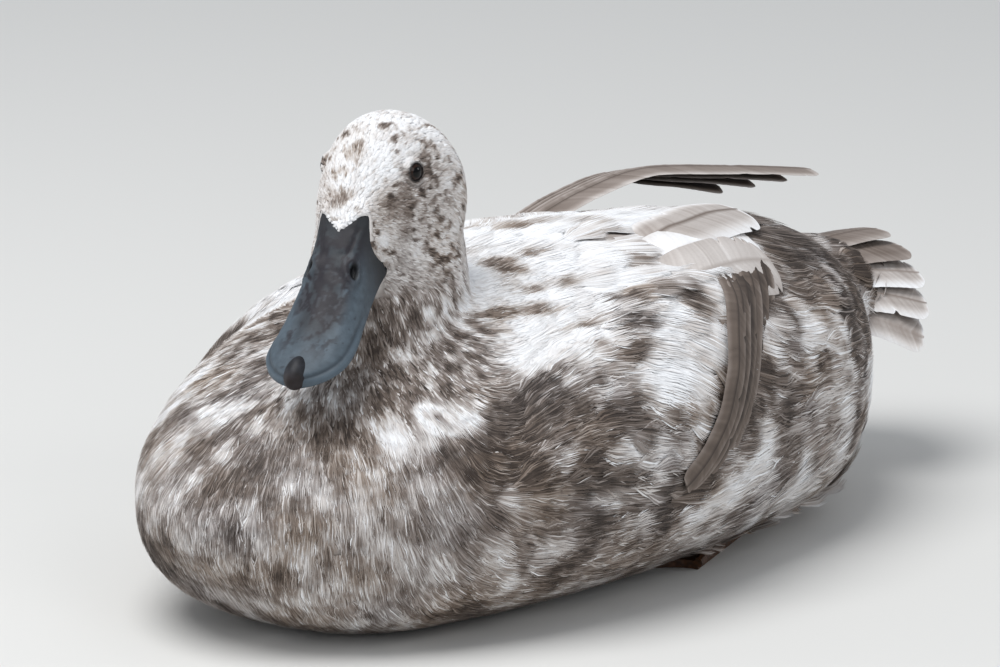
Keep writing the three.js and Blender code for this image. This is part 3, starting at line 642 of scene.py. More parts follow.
# Each mark: its middle across and down the view, its half length down the feathers, its half width
# across them, in steps of the view, and how dark it is, from 0, white, to 100, dark umber.
MARKS = {
    "back": [
        (540, 247, 6, 4, 85), (505, 257, 14, 10, 62), (480, 245, 20, 6, 30), (520, 220, 28, 7, 38),
        (455, 252, 10, 8, 20), (500, 307, 26, 6, 78), (547, 305, 17, 8, 62), (537, 282, 18, 5, 42),
        (570, 275, 12, 4, 62), (487, 325, 10, 6, 60), (590, 320, 9, 5, 52), (632, 290, 24, 8, 62),
        (643, 312, 22, 9, 74), (655, 348, 22, 9, 88), (662, 252, 14, 5, 68), (702, 292, 20, 12, 72),
        (712, 312, 9, 7, 74), (650, 232, 6, 8, 60), (620, 218, 40, 6, 42), (717, 214, 32, 4, 78),
        (740, 250, 22, 14, 36), (706, 365, 7, 13, 60), (716, 337, 7, 6, 45), (652, 387, 9, 6, 88),
        (630, 393, 8, 6, 80), (550, 372, 17, 7, 88), (580, 387, 26, 6, 72), (487, 362, 16, 9, 52),
        (505, 380, 12, 6, 45), (600, 360, 14, 5, 40), (560, 340, 20, 6, 20), (620, 340, 12, 5, 35),
        (690, 385, 42, 28, 2), (655, 415, 14, 8, 20), (600, 252, 55, 16, 8), (560, 255, 20, 8, 12),
        (545, 345, 40, 10, 12), (615, 390, 14, 5, 25), (475, 415, 12, 22, 6), (432, 412, 20, 16, 4),
        (395, 430, 22, 12, 14), (475, 300, 18, 10, 12), (680, 335, 14, 8, 10), (600, 300, 16, 6, 20),
        (690, 232, 30, 10, 10), (665, 275, 14, 6, 20),
    ],
    "wing_low": [
        (625, 405, 14, 6, 82), (595, 415, 26, 12, 66), (645, 417, 22, 6, 72), (687, 427, 9, 15, 96),
        (710, 420, 10, 12, 68), (700, 450, 10, 10, 30), (640, 445, 24, 10, 28), (670, 460, 14, 14, 18),
        (530, 415, 28, 20, 72), (505, 440, 24, 16, 82), (560, 425, 20, 10, 60), (542, 465, 22, 18, 76),
        (500, 480, 16, 16, 72), (602, 478, 22, 14, 62), (580, 448, 16, 8, 28), (617, 502, 22, 9, 28),
        (560, 500, 20, 8, 40), (640, 490, 16, 8, 45), (660, 500, 12, 10, 40), (520, 500, 16, 8, 30),
        (585, 520, 26, 8, 55), (530, 530, 20, 10, 50), (640, 525, 24, 8, 40), (560, 545, 26, 8, 35),
    ],
    "breast": [
        (442, 415, 6, 5, 70), (450, 455, 14, 12, 74), (470, 400, 10, 8, 50), (480, 480, 14, 16, 80),
        (455, 500, 12, 12, 60), (414, 510, 6, 10, 10), (402, 520, 8, 12, 22), (425, 530, 14, 14, 68),
        (360, 500, 16, 20, 30), (360, 470, 30, 8, 34), (322, 418, 18, 9, 72), (345, 430, 10, 8, 60),
        (330, 400, 14, 6, 40), (345, 478, 16, 8, 64), (300, 450, 18, 10, 50), (280, 420, 14, 8, 45),
        (275, 470, 12, 10, 58), (235, 400, 16, 8, 20), (207, 410, 18, 12, 16), (190, 430, 10, 8, 45),
        (180, 455, 10, 10, 50), (225, 480, 14, 10, 72), (210, 500, 10, 8, 68), (190, 470, 8, 8, 25),
        (232, 532, 8, 6, 75), (205, 530, 8, 8, 40), (165, 500, 8, 12, 40), (160, 460, 6, 10, 35),
        (180, 550, 14, 10, 35), (250, 505, 14, 8, 34), (270, 520, 10, 10, 60), (290, 490, 14, 8, 24),
        (310, 520, 12, 10, 58), (300, 560, 14, 10, 36), (260, 560, 14, 8, 50), (340, 540, 12, 10, 34),
        (350, 560, 14, 10, 58), (380, 550, 12, 8, 30), (385, 575, 16, 8, 55), (330, 590, 18, 8, 45),
        (420, 570, 16, 8, 36), (440, 590, 18, 8, 50), (470, 560, 16, 8, 55), (500, 545, 16, 8, 34),
        (240, 370, 10, 12, 55), (225, 390, 8, 8, 50), (250, 345, 14, 8, 45), (270, 385, 16, 6, 30),
        (265, 350, 10, 5, 10), (290, 395, 14, 6, 22), (250, 425, 12, 8, 26), (220, 450, 12, 8, 36),
    ],
    "rear": [
        (820, 250, 24, 14, 74), (795, 262, 18, 16, 72), (800, 290, 16, 12, 66),
        (830, 285, 20, 10, 62), (775, 250, 8, 20, 70), (840, 262, 14, 10, 66), (850, 298, 8, 12, 78),
        (845, 280, 8, 8, 20), (780, 330, 10, 16, 4), (783, 305, 10, 5, 68), (800, 318, 14, 5, 64),
        (792, 345, 10, 6, 80), (775, 340, 8, 8, 60), (820, 325, 14, 10, 16), (830, 345, 10, 8, 30),
        (830, 365, 12, 9, 66), (850, 340, 8, 14, 18), (855, 375, 10, 16, 22), (785, 360, 12, 8, 14),
        (800, 388, 22, 10, 58), (780, 400, 14, 6, 34), (812, 408, 22, 12, 62), (845, 400, 10, 12, 26),
        (838, 425, 14, 10, 55), (815, 440, 16, 8, 36), (775, 418, 9, 10, 90), (800, 430, 18, 6, 30),
        (775, 450, 16, 14, 4), (790, 465, 10, 6, 60), (820, 455, 6, 8, 90), (810, 470, 16, 8, 8),
        (760, 470, 20, 10, 6), (740, 490, 20, 8, 10), (760, 495, 14, 8, 34), (780, 490, 10, 8, 40),
        (800, 485, 12, 8, 12), (745, 512, 14, 7, 62), (720, 500, 16, 6, 40), (700, 520, 24, 8, 14),
        (720, 530, 20, 6, 40), (680, 540, 24, 6, 44), (760, 520, 10, 10, 16),
    ],
    "head": [
        (342, 197, 11, 10, 52), (335, 192, 8, 8, 46), (358, 144, 8, 5, 52), (349, 150, 5, 4, 40),
        (404, 192, 13, 11, 72), (395, 203, 12, 10, 66), (408, 205, 10, 10, 58), (392, 215, 8, 8, 50),
        (421, 184, 10, 5, 60), (425, 153, 8, 6, 78), (433, 145, 5, 6, 70), (440, 165, 6, 6, 50),
        (437, 180, 5, 5, 45), (440, 217, 5, 5, 88), (450, 200, 6, 10, 40), (425, 215, 8, 8, 42),
        (405, 232, 6, 5, 62), (430, 235, 6, 5, 46), (395, 180, 6, 12, 22), (385, 165, 10, 14, 2),
        (370, 175, 12, 14, 4), (350, 170, 12, 8, 4), (345, 215, 8, 8, 6), (352, 207, 10, 6, 6),
        (420, 245, 12, 12, 18), (385, 240, 8, 8, 14), (390, 205, 3, 3, 84), (402, 182, 4, 3, 84),
        (415, 200, 4, 3, 70), (345, 130, 4, 4, 88), (385, 124, 5, 4, 74), (395, 135, 4, 4, 60),
        (430, 165, 3, 3, 80), (447, 190, 3, 4, 70), (436, 200, 3, 3, 74),
    ],
    "neck": [
        (380, 350, 12, 12, 90), (392, 370, 10, 10, 92), (372, 335, 6, 10, 88), (400, 340, 12, 10, 72),
        (365, 365, 8, 8, 70), (420, 350, 10, 8, 48), (410, 365, 10, 8, 60), (440, 330, 8, 12, 44),
        (430, 300, 14, 12, 30), (405, 312, 10, 8, 62), (450, 300, 8, 14, 26), (455, 340, 8, 10, 62),
        (400, 385, 16, 6, 50), (440, 365, 12, 8, 26), (430, 380, 12, 6, 20), (462, 355, 6, 8, 40),
        (415, 325, 8, 6, 80), (385, 320, 6, 6, 84),
    ],
}
MARKED_SOLIDS = ["trunk", "wing_left", "neck", "head", "tail", "wing_left_flight", "wing_left_tertials"]
FINE_MARKS = ("head", "neck")
LEAST_MARK = 3.2  # the least half length or half width of a mark off the head and neck
MARK_STRETCH = 1.12  # how much longer a mark is than it looks, on a body that slants away
SLANT_LIMIT = 0.35  # how squarely a face is taken to look at the eye, at the least
NEAR_ZERO, EDGE_SLACK = 1e-12, 1e-6  # for lines that run along a face or through an edge

# The right side has the same marks, a little out of step, as the two sides of a pied duck never match:
# those further out than MIRRORED_FROM, moved back by MIRROR_STEP. The breast's are not repeated.
MIRRORED_FROM = 14
MIRROR_STEP = {"fine": 4, "broad": -11}


def marked_triangles():
    """The corners of every triangle of the solids that carry marks, in millimetres."""
    found = []
    for name in MARKED_SOLIDS:
        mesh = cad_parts[name].data
        places = np.empty(len(mesh.vertices) * 3, np.float32)
        mesh.vertices.foreach_get("co", places)
        faces = np.array([face.vertices[:] for face in mesh.polygons])
        found.append(places.reshape(-1, 3).astype(float)[faces] * 1000 - SHIFT)
    return np.concatenate(found)


def view_line(across, down):
    """The view's eye, and the way from it through a place in the view."""
    turn, rise = math.radians(VIEW["turn"]), math.radians(VIEW["rise"])
    toward = np.array([math.sin(turn) * math.cos(rise), -math.cos(turn) * math.cos(rise), math.sin(rise)])
    right = np.array([math.cos(turn), math.sin(turn), 0])
    scale = VIEW["steps"] * VIEW["distance"]
    off_right = (across - VIEW["middle"][0]) / scale
    off_down = (down - VIEW["middle"][1]) / scale
    way = right * off_right - np.cross(toward, right) * off_down - toward
    return VIEW["aim"] + toward * VIEW["distance"], way / np.linalg.norm(way)


def first_met(eye, way, corners):
    """Where a line first meets the triangles, and how squarely the one it meets looks back, or None."""
    first, second = corners[:, 1] - corners[:, 0], corners[:, 2] - corners[:, 0]
    turned = np.cross(way, second)
    scale = np.sum(first * turned, 1)
    scale[np.abs(scale) < NEAR_ZERO] = NEAR_ZERO
    start = eye - corners[:, 0]
    along_first = np.sum(start * turned, 1) / scale
    turned = np.cross(start, first)
    along_second = turned @ way / scale
    distance = np.sum(second * turned, 1) / scale
    inside = (np.minimum(along_first, along_second) >= -EDGE_SLACK) & (distance > 0)
    inside &= along_first + along_second <= 1 + EDGE_SLACK
    if not inside.any():
        return None
    k = np.argmin(np.where(inside, distance, np.inf))
    out = np.cross(first[k], second[k])
    return eye + way * distance[k], -(out @ way) / np.linalg.norm(out)


def mark_rows():
    """Each mark on the solids: its middle, half length, half width, and how dark it is, from 0 to 1.

    A mark whose line passes the solids by is left out."""
    rows = []
    corners = marked_triangles()
    for part, marks in MARKS.items():
        fine = part in FINE_MARKS
        for across, down, long, wide, tone in marks:
            met = first_met(*view_line(across, down), corners)
            if met is None:
                continue
            middle, square = met
            x, y, z = np.round(middle)
            if fine:
                long, wide = round(long / VIEW["steps"], 1), round(wide / VIEW["steps"], 1)
            else:
                long = round(max(LEAST_MARK, long / VIEW["steps"] * MARK_STRETCH))
                wide = round(max(LEAST_MARK, wide / VIEW["steps"] / max(SLANT_LIMIT, square)))
            rows.append([x, y, z, long, wide, tone / 100])
            if part != "breast" and x > MIRRORED_FROM:
                y += MIRROR_STEP["fine" if fine else "broad"]
                rows.append([-x, y, z, long, wide, tone / 100])
    return np.array(rows, float)


MARK_ROWS = mark_rows()
_, mark_out = nearest(MARK_ROWS[:, :3])
MARK_WAYS = lie(MARK_ROWS[:, :3], mark_out)
MARK_SIDES = np.cross(mark_out, MARK_WAYS)


def pigment(points):
    """How dark the plumage is at each place, from 0, white, to 1, umber brown."""
    x, y, z = points.T
    tone = np.full(len(points), 0.5)
    tone = mix(tone, 0.62, eased(20, 70, np.abs(x)) * eased(-110, -70, y) * eased(90, 60, z))
    back = eased(84, 98, z) * eased(-105, -70, y)
    tone = mix(tone, 0.1, back)
    tone = mix(tone, 0.66, eased(100, 128, y) * eased(60, 85, z))
    tone = mix(tone, 0.3, eased(70, 100, y) * eased(75, 55, z))
    q = moved(points, TO_HEAD)
    cheek = eased(10, -8, q[:, 2]) * eased(4, 12, np.abs(q[:, 0]))
    crown = mix(0.12, 0.3, cheek)
    neck = neck_share(points) * eased(-25, -50, y)
    tone = mix(tone, mix(mix(0.62, 0.2, eased(-70, -50, y)), 0.4, eased(105, 130, z)), neck)
    tone = mix(tone, crown, head_share(points))
    return tone


def marked(points, tone):
    """Lays the marks over the tone, their outlines broken up like the edges of soft feathers."""
    small = head_share(points)
    wobble = np.stack([cloud(points, 6, k) - 0.5 for k in (61, 62, 63)], -1) * mix(5.0, 2.6, small)[:, None]
    wobble += (np.stack([cloud(points, 2.4, k) - 0.5 for k in (64, 65, 66)], -1)
               * mix(2.6, 1.8, small)[:, None])
    at = points + wobble
    for row, way, side in zip(MARK_ROWS, MARK_WAYS, MARK_SIDES):
        off = at - row[:3]
        near = np.flatnonzero(np.abs(off).max(1) < max(row[3], row[4]) * 1.8 + 1)
        off = off[near]
        share = (off @ way / row[3]) ** 2 + (off @ side / row[4]) ** 2
        deep = np.sum(off * off, 1) / (max(row[3], row[4]) * 1.6) ** 2
        weight = 0.97 / (1 + np.maximum(share, deep) ** 3)
        tone[near] = mix(tone[near], row[5], weight)
    return tone


def mottled(points, jitter=None):
    """The pigment with the blotches that differ from feather to feather."""
    head, neck = head_share(points), neck_share(points)
    coarse = spread_cloud(points, 24, 3) - 0.5
    middle = spread_cloud(points, 9, 5) - 0.5
    fine = spread_cloud(points, 3.0, 9) - 0.5
    back = eased(84, 98, points[:, 2]) * (1 - head)
    tone = pigment(points) + coarse * mix(0.42, 0.1, head) * (1 - 0.5 * back)
    tone = marked(points, tone + middle * mix(mix(0.42, 0.25, neck), 0.12, head))
    dark = eased(0.12, 0.45, tone)
    tone += middle * 0.14 * (1 - head) * dark
    tone += fine * mix(mix(0.12 * dark, 0.75, neck * (1 - head) * eased(-25, -60, points[:, 1])), 0.2, head)
    # small dark flecks over the head
    fleck = cloud(points, 1.7, 17) * 0.6 + cloud(points, 3.6, 18) * 0.4
    cheek = 0.6 + 0.4 * eased(4, 14, np.abs(moved(points, TO_HEAD)[:, 0]))
    tone += 0.62 * eased(0.60, 0.74, fleck) * head * cheek
    tone = mix(tone, 0.5 + (tone - 0.5) * 1.1, neck * (1 - head) * eased(-40, -66, points[:, 1]) * 0.8)
    breast = eased(-60, -115, points[:, 1])
    tone = mix(tone, eased(0.06, 0.8, tone), 0.7 * (1 - head) * (1 - 0.5 * neck) * (1 - 0.65 * breast))
    if jitter is not None:
        tone += jitter
    return np.clip(tone, 0, 1)


def shade(tone):
    return np.stack([np.interp(tone, SHADE_STEPS, SHADE_TABLE[:, k]) for k in range(3)], -1)


def skin_colours():
    """The skin carries the coat's markings, dark and bare at the lids' rims."""
    h = moved(skin_points, TO_HEAD)
    rim = eased(1.42, 1.12, np.minimum(lid_share(h, 1), lid_share(h, -1)))
    return mix(shade(mottled(skin_points)), linear("#1d1a1b"), rim[:, None])


paint(skin.data, skin_colours())

# ------------------------------------------------------------------ the coat

def bare(points):
    """Where no feather grows: under the bill, in the eyes' openings and flat on the floor."""
    q = moved(points, TO_BILL)
    d = -q[:, 1]
    upper = ((q[:, 2] > -0.5) & (d > -3) & (bill_section(q) < 1.05)
             & (d > feather_edge(q[:, 0], q[:, 2]) - 0.25))
    lower = (q[:, 2] <= -0.5) & (q[:, 2] > -6) & (np.abs(q[:, 0]) < billed(d) - 1) & (d > 4.5)
    h = moved(points, TO_HEAD)
    opening = np.minimum(lid_share(h, 1), lid_share(h, -1)) < 1.32
    on_floor = points[:, 2] < 0.4
    return upper | lower | opening | on_floor


# Feathers by size: up to this length, gap between roots as a share of the length, strands, steps.
SIZES = [
    {"name": "face", "below": 5.2, "gap": 0.3, "strands": 4, "steps": 2, "wide": 0.55, "loose": 0.5,
     "share": 0.3,
     "fringe": 0.12, "centre": 0.0, "fine": 0.62},
    {"name": "neck", "below": 9.5, "gap": 0.22, "strands": 6, "steps": 3, "wide": 0.5, "loose": 1.0,
     "share": 0.4,
     "fringe": 0.3, "centre": 0.05, "fine": 0.5},
    {"name": "body", "below": 20.0, "gap": 0.27, "strands": 20, "steps": 3, "wide": 0.85, "loose": 0.7,
     "share": 0.5,
     "fringe": 0.34, "centre": 0.08, "fine": 0.44},
    {"name": "large", "below": 99.0, "gap": 0.3, "strands": 32, "steps": 4, "wide": 0.78, "loose": 0.3,
     "share": 0.6,
     "fringe": 0.4, "centre": 0.14, "fine": 0.5},
]


def sow_roots():
    """Places for the feathers' roots, spread evenly, closer where the feathers are shorter."""
    middles = skin_points[skin_faces].mean(1)
    length = plume_length(middles)
    beds = []
    for rank, size in enumerate(SIZES):
        above = SIZES[rank - 1]["below"] if rank else 0.0
        chosen = np.flatnonzero((length >= above) & (length < size["below"]))
        gap = length[chosen] * size["gap"]
        wanted = chance.poisson(face_area[chosen] * 2.6 / gap ** 2)
        face = np.repeat(chosen, wanted)
        chance.shuffle(face)
        r1, r2 = np.sqrt(chance.random(len(face))), chance.random(len(face))
        tri = skin_points[skin_faces[face]]
        spots = (tri[:, 0] * (1 - r1)[:, None] + tri[:, 1] * (r1 * (1 - r2))[:, None]
                 + tri[:, 2] * (r1 * r2)[:, None])
        keep = ~bare(spots)
        spots, face = spots[keep], face[keep]
        reach = length[face] * size["gap"]
        cell = reach.max()
        taken = {}
        kept = []
        cells = np.floor(spots / cell).astype(int).tolist()
        near = list(product((-1, 0, 1), repeat=3))
        for i, (p, (cx, cy, cz), r) in enumerate(zip(spots.tolist(), cells, (reach ** 2).tolist())):
            free = True
            for dx, dy, dz in near:
                for o in taken.get((cx + dx, cy + dy, cz + dz), ()):
                    if (o[0] - p[0]) ** 2 + (o[1] - p[1]) ** 2 + (o[2] - p[2]) ** 2 < r:
                        free = False
                        break
                if not free:
                    break
            if free:
                taken.setdefault((cx, cy, cz), []).append(p)
                kept.append(i)
        kept = np.array(kept)
        beds.append((size, spots[kept], face_normal[face[kept]]))
        print("roots", size["name"], len(kept))
    return beds


def curved_along(line, t):
    """A smooth bend through the first, middle and last points of each line, at the share t of its length."""
    first, last = line[0][:, None], line[-1][:, None]
    middle = (line[(len(line) - 1) // 2] + line[len(line) // 2])[:, None] - (first + last) / 2
    t = t[..., None]
    return first * (1 - t) ** 2 + 2 * middle * t * (1 - t) + last * t * t


def plumes(size, roots, outward):
    """Every feather of one size as a fan of thin strands that share a line over the skin."""
    n, strands, steps = len(roots), size["strands"], size["steps"]
    length = plume_length(roots) * chance.uniform(0.86, 1.14, n)
    width = length * size["wide"] * chance.uniform(0.85, 1.15, n)
    turn = chance.normal(0, 0.08, n)[:, None]
    line, outs, ways = [roots], [outward], []
    for step in range(steps + 1):
        here, out = line[-1], outs[-1]
        way = lie(here, out)
        way = way * np.cos(turn) + np.cross(out, way) * np.sin(turn)
        ways.append(way)
        if step < steps:
            there, out = nearest(here + way * (length / steps)[:, None])
            line.append(there)
            outs.append(unit(out + outs[-1]))
    line, outs, ways = np.stack(line), np.stack(outs), np.stack(ways)
    low = np.minimum(0.12 + 0.03 * length, 0.8)
    high = low + 0.1 + 0.062 * length * chance.uniform(0.8, 1.25, n)
    lane = np.linspace(-1, 1, strands)[None, :] + chance.normal(0, 0.25 / strands, (n, strands))
    end = 1 - 0.36 * np.abs(lane) ** 2.3 - chance.uniform(0, 0.1, (n, strands)) * (0.4 + size["loose"])
    loose = size["loose"]
    lift = chance.normal(0, 0.03, (n, strands)) * np.sqrt(length)[:, None] * 0.6 * loose
    stray = chance.normal(0, 0.03, (n, strands)) * loose
    points, along, across, facing = [], [], [], []
    for j in range(steps + 1):
        t = end * j / steps
        centre = curved_along(line, t)
        out = unit(curved_along(outs, t))
        side = unit(np.cross(out, unit(curved_along(ways, t))))
        way = np.cross(side, out)
        spread = 0.34 + 0.66 * eased(0, 0.62, t) - 0.2 * eased(0.75, 1.0, t)
        x = (lane * spread + stray * t * t * 1.6) * (width / 2)[:, None]
        sag = x * x / mix(30, 95, eased(4, 24, length))[:, None] / 2 * 1.3
        h = low[:, None] + (high - low)[:, None] * t ** 1.4 - sag + lift
        half = ((width / strands)[:, None] * size["fine"] * (0.75 + 0.25 * np.sin(math.pi * t))
                * (1 - 0.35 * eased(0.7, 1, t)))
        at = centre + side * x[..., None]
        face = unit(out + side * (0.3 * lane + 1.6 * lift)[..., None] - way * 0.08)
        if j < steps:
            points += [at - side * half[..., None] + out * h[..., None],
                       at + side * half[..., None] + out * h[..., None]]
            along += [t, t]
            across += [lane, lane]
            facing += [unit(face - 0.12 * side), unit(face + 0.12 * side)]
        else:
            points.append(at + out * (h * 0.97)[..., None])
            along.append(t)
            across.append(lane)
            facing.append(face)
    points = np.stack(points, 2)  # feather, strand, corner, xyz
    along, across, facing = np.stack(along, 2), np.stack(across, 2), np.stack(facing, 2)
    # each strand takes part of its tone from its feather and part from where it lies
    whole = mottled(mix(line[-1], line[-2], 0.4), chance.normal(0, 0.07, n))[:, None]
    spots = np.concatenate([(points[:, :, 0:-1:2] + points[:, :, 1:-1:2]) / 2, points[:, :, -1:]], 2)
    own = mottled(spots.reshape(-1, 3)).reshape(n, strands, steps + 1)
    own = np.concatenate([np.repeat(own[..., :-1], 2, axis=2), own[..., -1:]], 2)
    tone = mix(own, whole[..., None], size["share"])
    edge = np.clip(np.maximum(np.abs(across) ** 3, eased(0.75, 1.05, along)), 0, 1)
    pale = size["fringe"] * edge * eased(0.2, 0.5, tone) * chance.uniform(0.2, 1.2, n)[:, None, None]
    tone = tone + size["centre"] * (1 - edge) * eased(0.2, 0.5, tone) * eased(0.3, 0.6, along)
    streak = (chance.normal(0, 0.08, (n, strands))
              - 0.65 * size["fringe"] * (chance.random((n, strands)) < 0.16))
    streak += 0.14 * (chance.random((n, strands)) < 0.1)
    # inner: painted shade, darker toward each strand's root where the feathers overlap one another
    inner = 0.12 * eased(0.5, 0.0, along) * eased(0.1, 0.4, tone)
    streak = streak[..., None] * (0.35 + 0.65 * eased(0.05, 0.4, tone))
    return points, np.clip(tone - pale + streak + inner, 0, 1), along, across, facing


PIECE_TRIANGLES = 185000  # a bed of feathers with more than this is divided
GROUND_GAP = 0.15  # mm, how far over the ground the lowest strands lie
BARB_PATCH = (0.0014, 0.0028)  # a feather's share of the coat's map, across and along


def coat_pieces(beds, patch_of):
    """The coat as named pieces, each small enough to be handled on its own."""
    pieces = []
    for size, roots, outward in beds:
        points, tone, along, across, facing = plumes(size, roots, outward)
        n, strands, corners = tone.shape
        warm = (cloud(roots, 16, 71) - 0.5)[:, None, None, None] * np.array([0.14, 0.0, -0.2])
        colours = shade(tone.reshape(-1)).reshape(n, strands, corners, 3)
        colours = colours * (1 + warm * eased(0.2, 0.6, tone)[..., None])
        quads = np.array([[2 * j + 2, 2 * j + 3, 2 * j + 1, 2 * j] for j in range(size["steps"] - 1)])
        tips = np.array([[corners - 1, corners - 2, corners - 3]])
        per = strands * (2 * (size["steps"] - 1) + 1)
        share = max(1, math.ceil(n * per / PIECE_TRIANGLES))
        order = np.argsort(roots[:, 1])
        for part, chosen in enumerate(np.array_split(order, share)):
            block = np.arange(len(chosen) * strands)[:, None, None] * corners
            patch = patch_of(roots[chosen])[:, None, None, :] + np.stack(
                [BARB_PATCH[0] * across[chosen], BARB_PATCH[1] * (along[chosen] - 0.5)], -1)
            flat = points[chosen].reshape(-1, 3)
            flat[:, 2] = np.maximum(flat[:, 2], GROUND_GAP)
            letter = "abcdefgh"[part]
            piece = made_mesh(f"plumes_{size['name']}_{letter}", flat,
                              [(block + quads[None]).reshape(-1, 4), (block + tips[None]).reshape(-1, 3)],
                              colours[chosen].reshape(-1, 3), patch.reshape(-1, 2),
                              facing[chosen].reshape(-1, 3))
            pieces.append(piece)
    return pieces


def skin_patch(points):
    """Where each root lies on an unwrap of the skin: the trunk, the neck and the head side by side."""
    x, y, z = points.T
    around = np.arctan2(z - 50, x) / (2 * math.pi) % 1.0
    trunk = np.stack([0.01 + 0.48 * around, 0.02 + 0.96 * (y + 170) / 400], -1)
    turn = np.arctan2(x - 2, -(y + 66)) / (2 * math.pi) % 1.0
    neck = np.stack([0.51 + 0.47 * turn, 0.03 + 0.42 * np.clip((z - 50) / 75, 0, 1)], -1)
    q = moved(points, TO_HEAD)
    spin = np.arctan2(q[:, 2] + 14, q[:, 0]) / (2 * math.pi) % 1.0
    head = np.stack([0.51 + 0.47 * spin, 0.5 + 0.47 * np.clip((q[:, 1] + 34) / 82, 0, 1)], -1)
    on_neck = (neck_share(points) > 0.5)[:, None]
    on_head = (head_share(points) > 0.5)[:, None]
    return np.clip(np.where(on_head, head, np.where(on_neck, neck, trunk)), 0.004, 0.996)


coat = coat_pieces(sow_roots(), skin_patch)


# ------------------------------------------------------------------ bill
def outward_of(grid):
    """The way out at every point of a closed grid of rings."""
    along = np.gradient(grid, axis=0)
    around = np.roll(grid, -1, 1) - np.roll(grid, 1, 1)
    return unit(np.cross(around, along))


def bill_upper():
    d = np.unique(np.round(np.concatenate([np.linspace(-4, 46, 130),
                                           crowded(46, BILL_LENGTH - 0.15, 92)]), 4))
    dd, a = np.meshgrid(d, turns(150), indexing="ij")
    tip = rounding(BILL_LENGTH - dd, BILL_ROUND)
    boxy = bill_boxy(dd)
    tall = culmen(dd) * mix(0.55, 1, tip)
    x = bent(np.cos(a), boxy) * billed(dd) * tip
    z = bent(np.sin(a), boxy) * np.where(np.sin(a) > 0, tall, 0.9)
    grid = np.stack([x, -dd, z], -1)
    out = outward_of(grid)
    top = np.sin(a) > 0.001
    off = np.abs(x)
    flat = grid.reshape(-1, 3)
    # the rounded rim inside the edge of the tip, with a groove between it and the bill's top
    past = np.maximum(0, dd - (BILL_LENGTH - BILL_ROUND)) / BILL_ROUND
    from_edge = (1 - np.sqrt((x / billed(dd)) ** 2 + past ** 2)) * 15.5
    edge = np.where(dd > 30, np.hypot(from_edge, np.where(top, z, 0)), np.where(top, z, 0))
    toward_tip = eased(22, 42, dd) * top
    shift = -0.5 * np.exp(-((edge - 3.3) / 0.75) ** 2) * toward_tip
    shift += 0.2 * np.exp(-((edge - 1.3) / 1.0) ** 2) * toward_tip
    # a low ridge between two long shallow troughs, and a crease from each corner past the nostril
    shift -= 0.4 * np.exp(-((off - 6.2) / 2.6) ** 2) * eased(18, 34, dd) * eased(58, 44, dd) * top
    shift += 0.2 * np.exp(-(off / 2.4) ** 2) * eased(8, 26, dd) * eased(60, 50, dd) * top
    crease = off - mix(8.2, 5.2, np.clip(dd / 16, 0, 1))
    shift -= 0.35 * np.exp(-(crease / 0.8) ** 2) * eased(1, 6, dd) * eased(19, 12, dd) * top
    # nostrils
    nostril = np.full(grid.shape[:2], 9.0)
    for side in (1, -1):
        u, v = (dd - 19.6) / 3.1, (z - 14.4 + (dd - 19.6) * 0.45) / 1.35
        nostril = np.minimum(nostril, np.hypot(u, v) + np.where(x * side > 2, 0, 9))
    shift -= 1.9 * eased(1.0, 0.4, nostril)
    shift += 0.4 * np.exp(-((nostril - 1.35) / 0.3) ** 2)
    shift -= 0.3 * np.exp(-((nostril - 2.1) / 0.4) ** 2)
    # under the face's feathers the bill lies a little lower
    shift -= 1.2 * eased(-0.2, 0.8, feather_edge(x, z) - dd) * (z > 0.6)
    shift += (((cloud(flat, 4.5, 21) - 0.5) * 0.3 + (cloud(flat, 1.5, 22) - 0.5) * 0.1)
              .reshape(shift.shape) * top)
    grid = grid + out * shift[..., None]
    # colour: slate blue sides and rim, plum and black mottles down the middle of the top, with painted
    # highlights on the rim and lower edges and painted shade in the groove, nostrils and mouth's corner
    slate, blue, plum = linear("#33373c"), linear("#4b565f"), linear("#232026")
    painted_hollow_shade, light = linear("#101114"), linear("#7f8b95")
    side_share = eased(3.5, 10, off) * eased(6, 24, dd) + eased(40, 56, dd)
    tone = mix(slate, blue, np.clip(side_share, 0, 1)[..., None])
    stripe = spread_cloud(flat * [1, 0.35, 1], 4.2, 31).reshape(off.shape)
    speck = spread_cloud(flat * [1, 0.6, 1], 2.0, 32).reshape(off.shape)
    middle = eased(12, 7, off) * eased(60, 44, dd)
    tone = mix(tone, plum, (eased(0.36, 0.5, stripe * 0.6 + speck * 0.4) * 0.95 * middle)[..., None])
    tone = mix(tone, linear("#5d656c"),
               (eased(0.75, 0.9, speck) * 0.25 * middle * eased(10, 20, dd))[..., None])
    pebble = spread_cloud(flat, 2.0, 33).reshape(off.shape)
    tone = tone * (1 + 0.3 * (pebble - 0.5))[..., None]
    dots = (eased(0.8, 0.9, cloud(flat, 1.3, 35)).reshape(off.shape)
            * eased(0.5, 0.7, cloud(flat, 9, 36)).reshape(off.shape))
    tone = mix(tone, plum, (0.5 * dots * eased(20, 30, dd))[..., None])
    # painted highlight and painted shade: the rounded rim inside the tip's edge is lighter, and the groove
    # behind it is darker
    tone = mix(tone, linear("#56646f"), (0.55 * eased(4.5, 1.2, edge) * toward_tip)[..., None])
    tone = mix(tone, linear("#2f373f"), (0.6 * np.exp(-((edge - 3.3) / 0.8) ** 2) * toward_tip)[..., None])
    # painted highlight: the lower edges of the top, toward the base, are lighter blue grey where they catch
    # the light
    tone = mix(tone, light, (0.3 * eased(2.6, 0.6, z) * eased(34, 14, dd) * top)[..., None])
    tone = mix(tone, linear("#232528"), (eased(14, 2, dd) * 0.8)[..., None])
    # painted shade: the nostrils are nearly black, for the hollows inside them
    tone = mix(tone, painted_hollow_shade, eased(1.15, 0.7, nostril)[..., None])
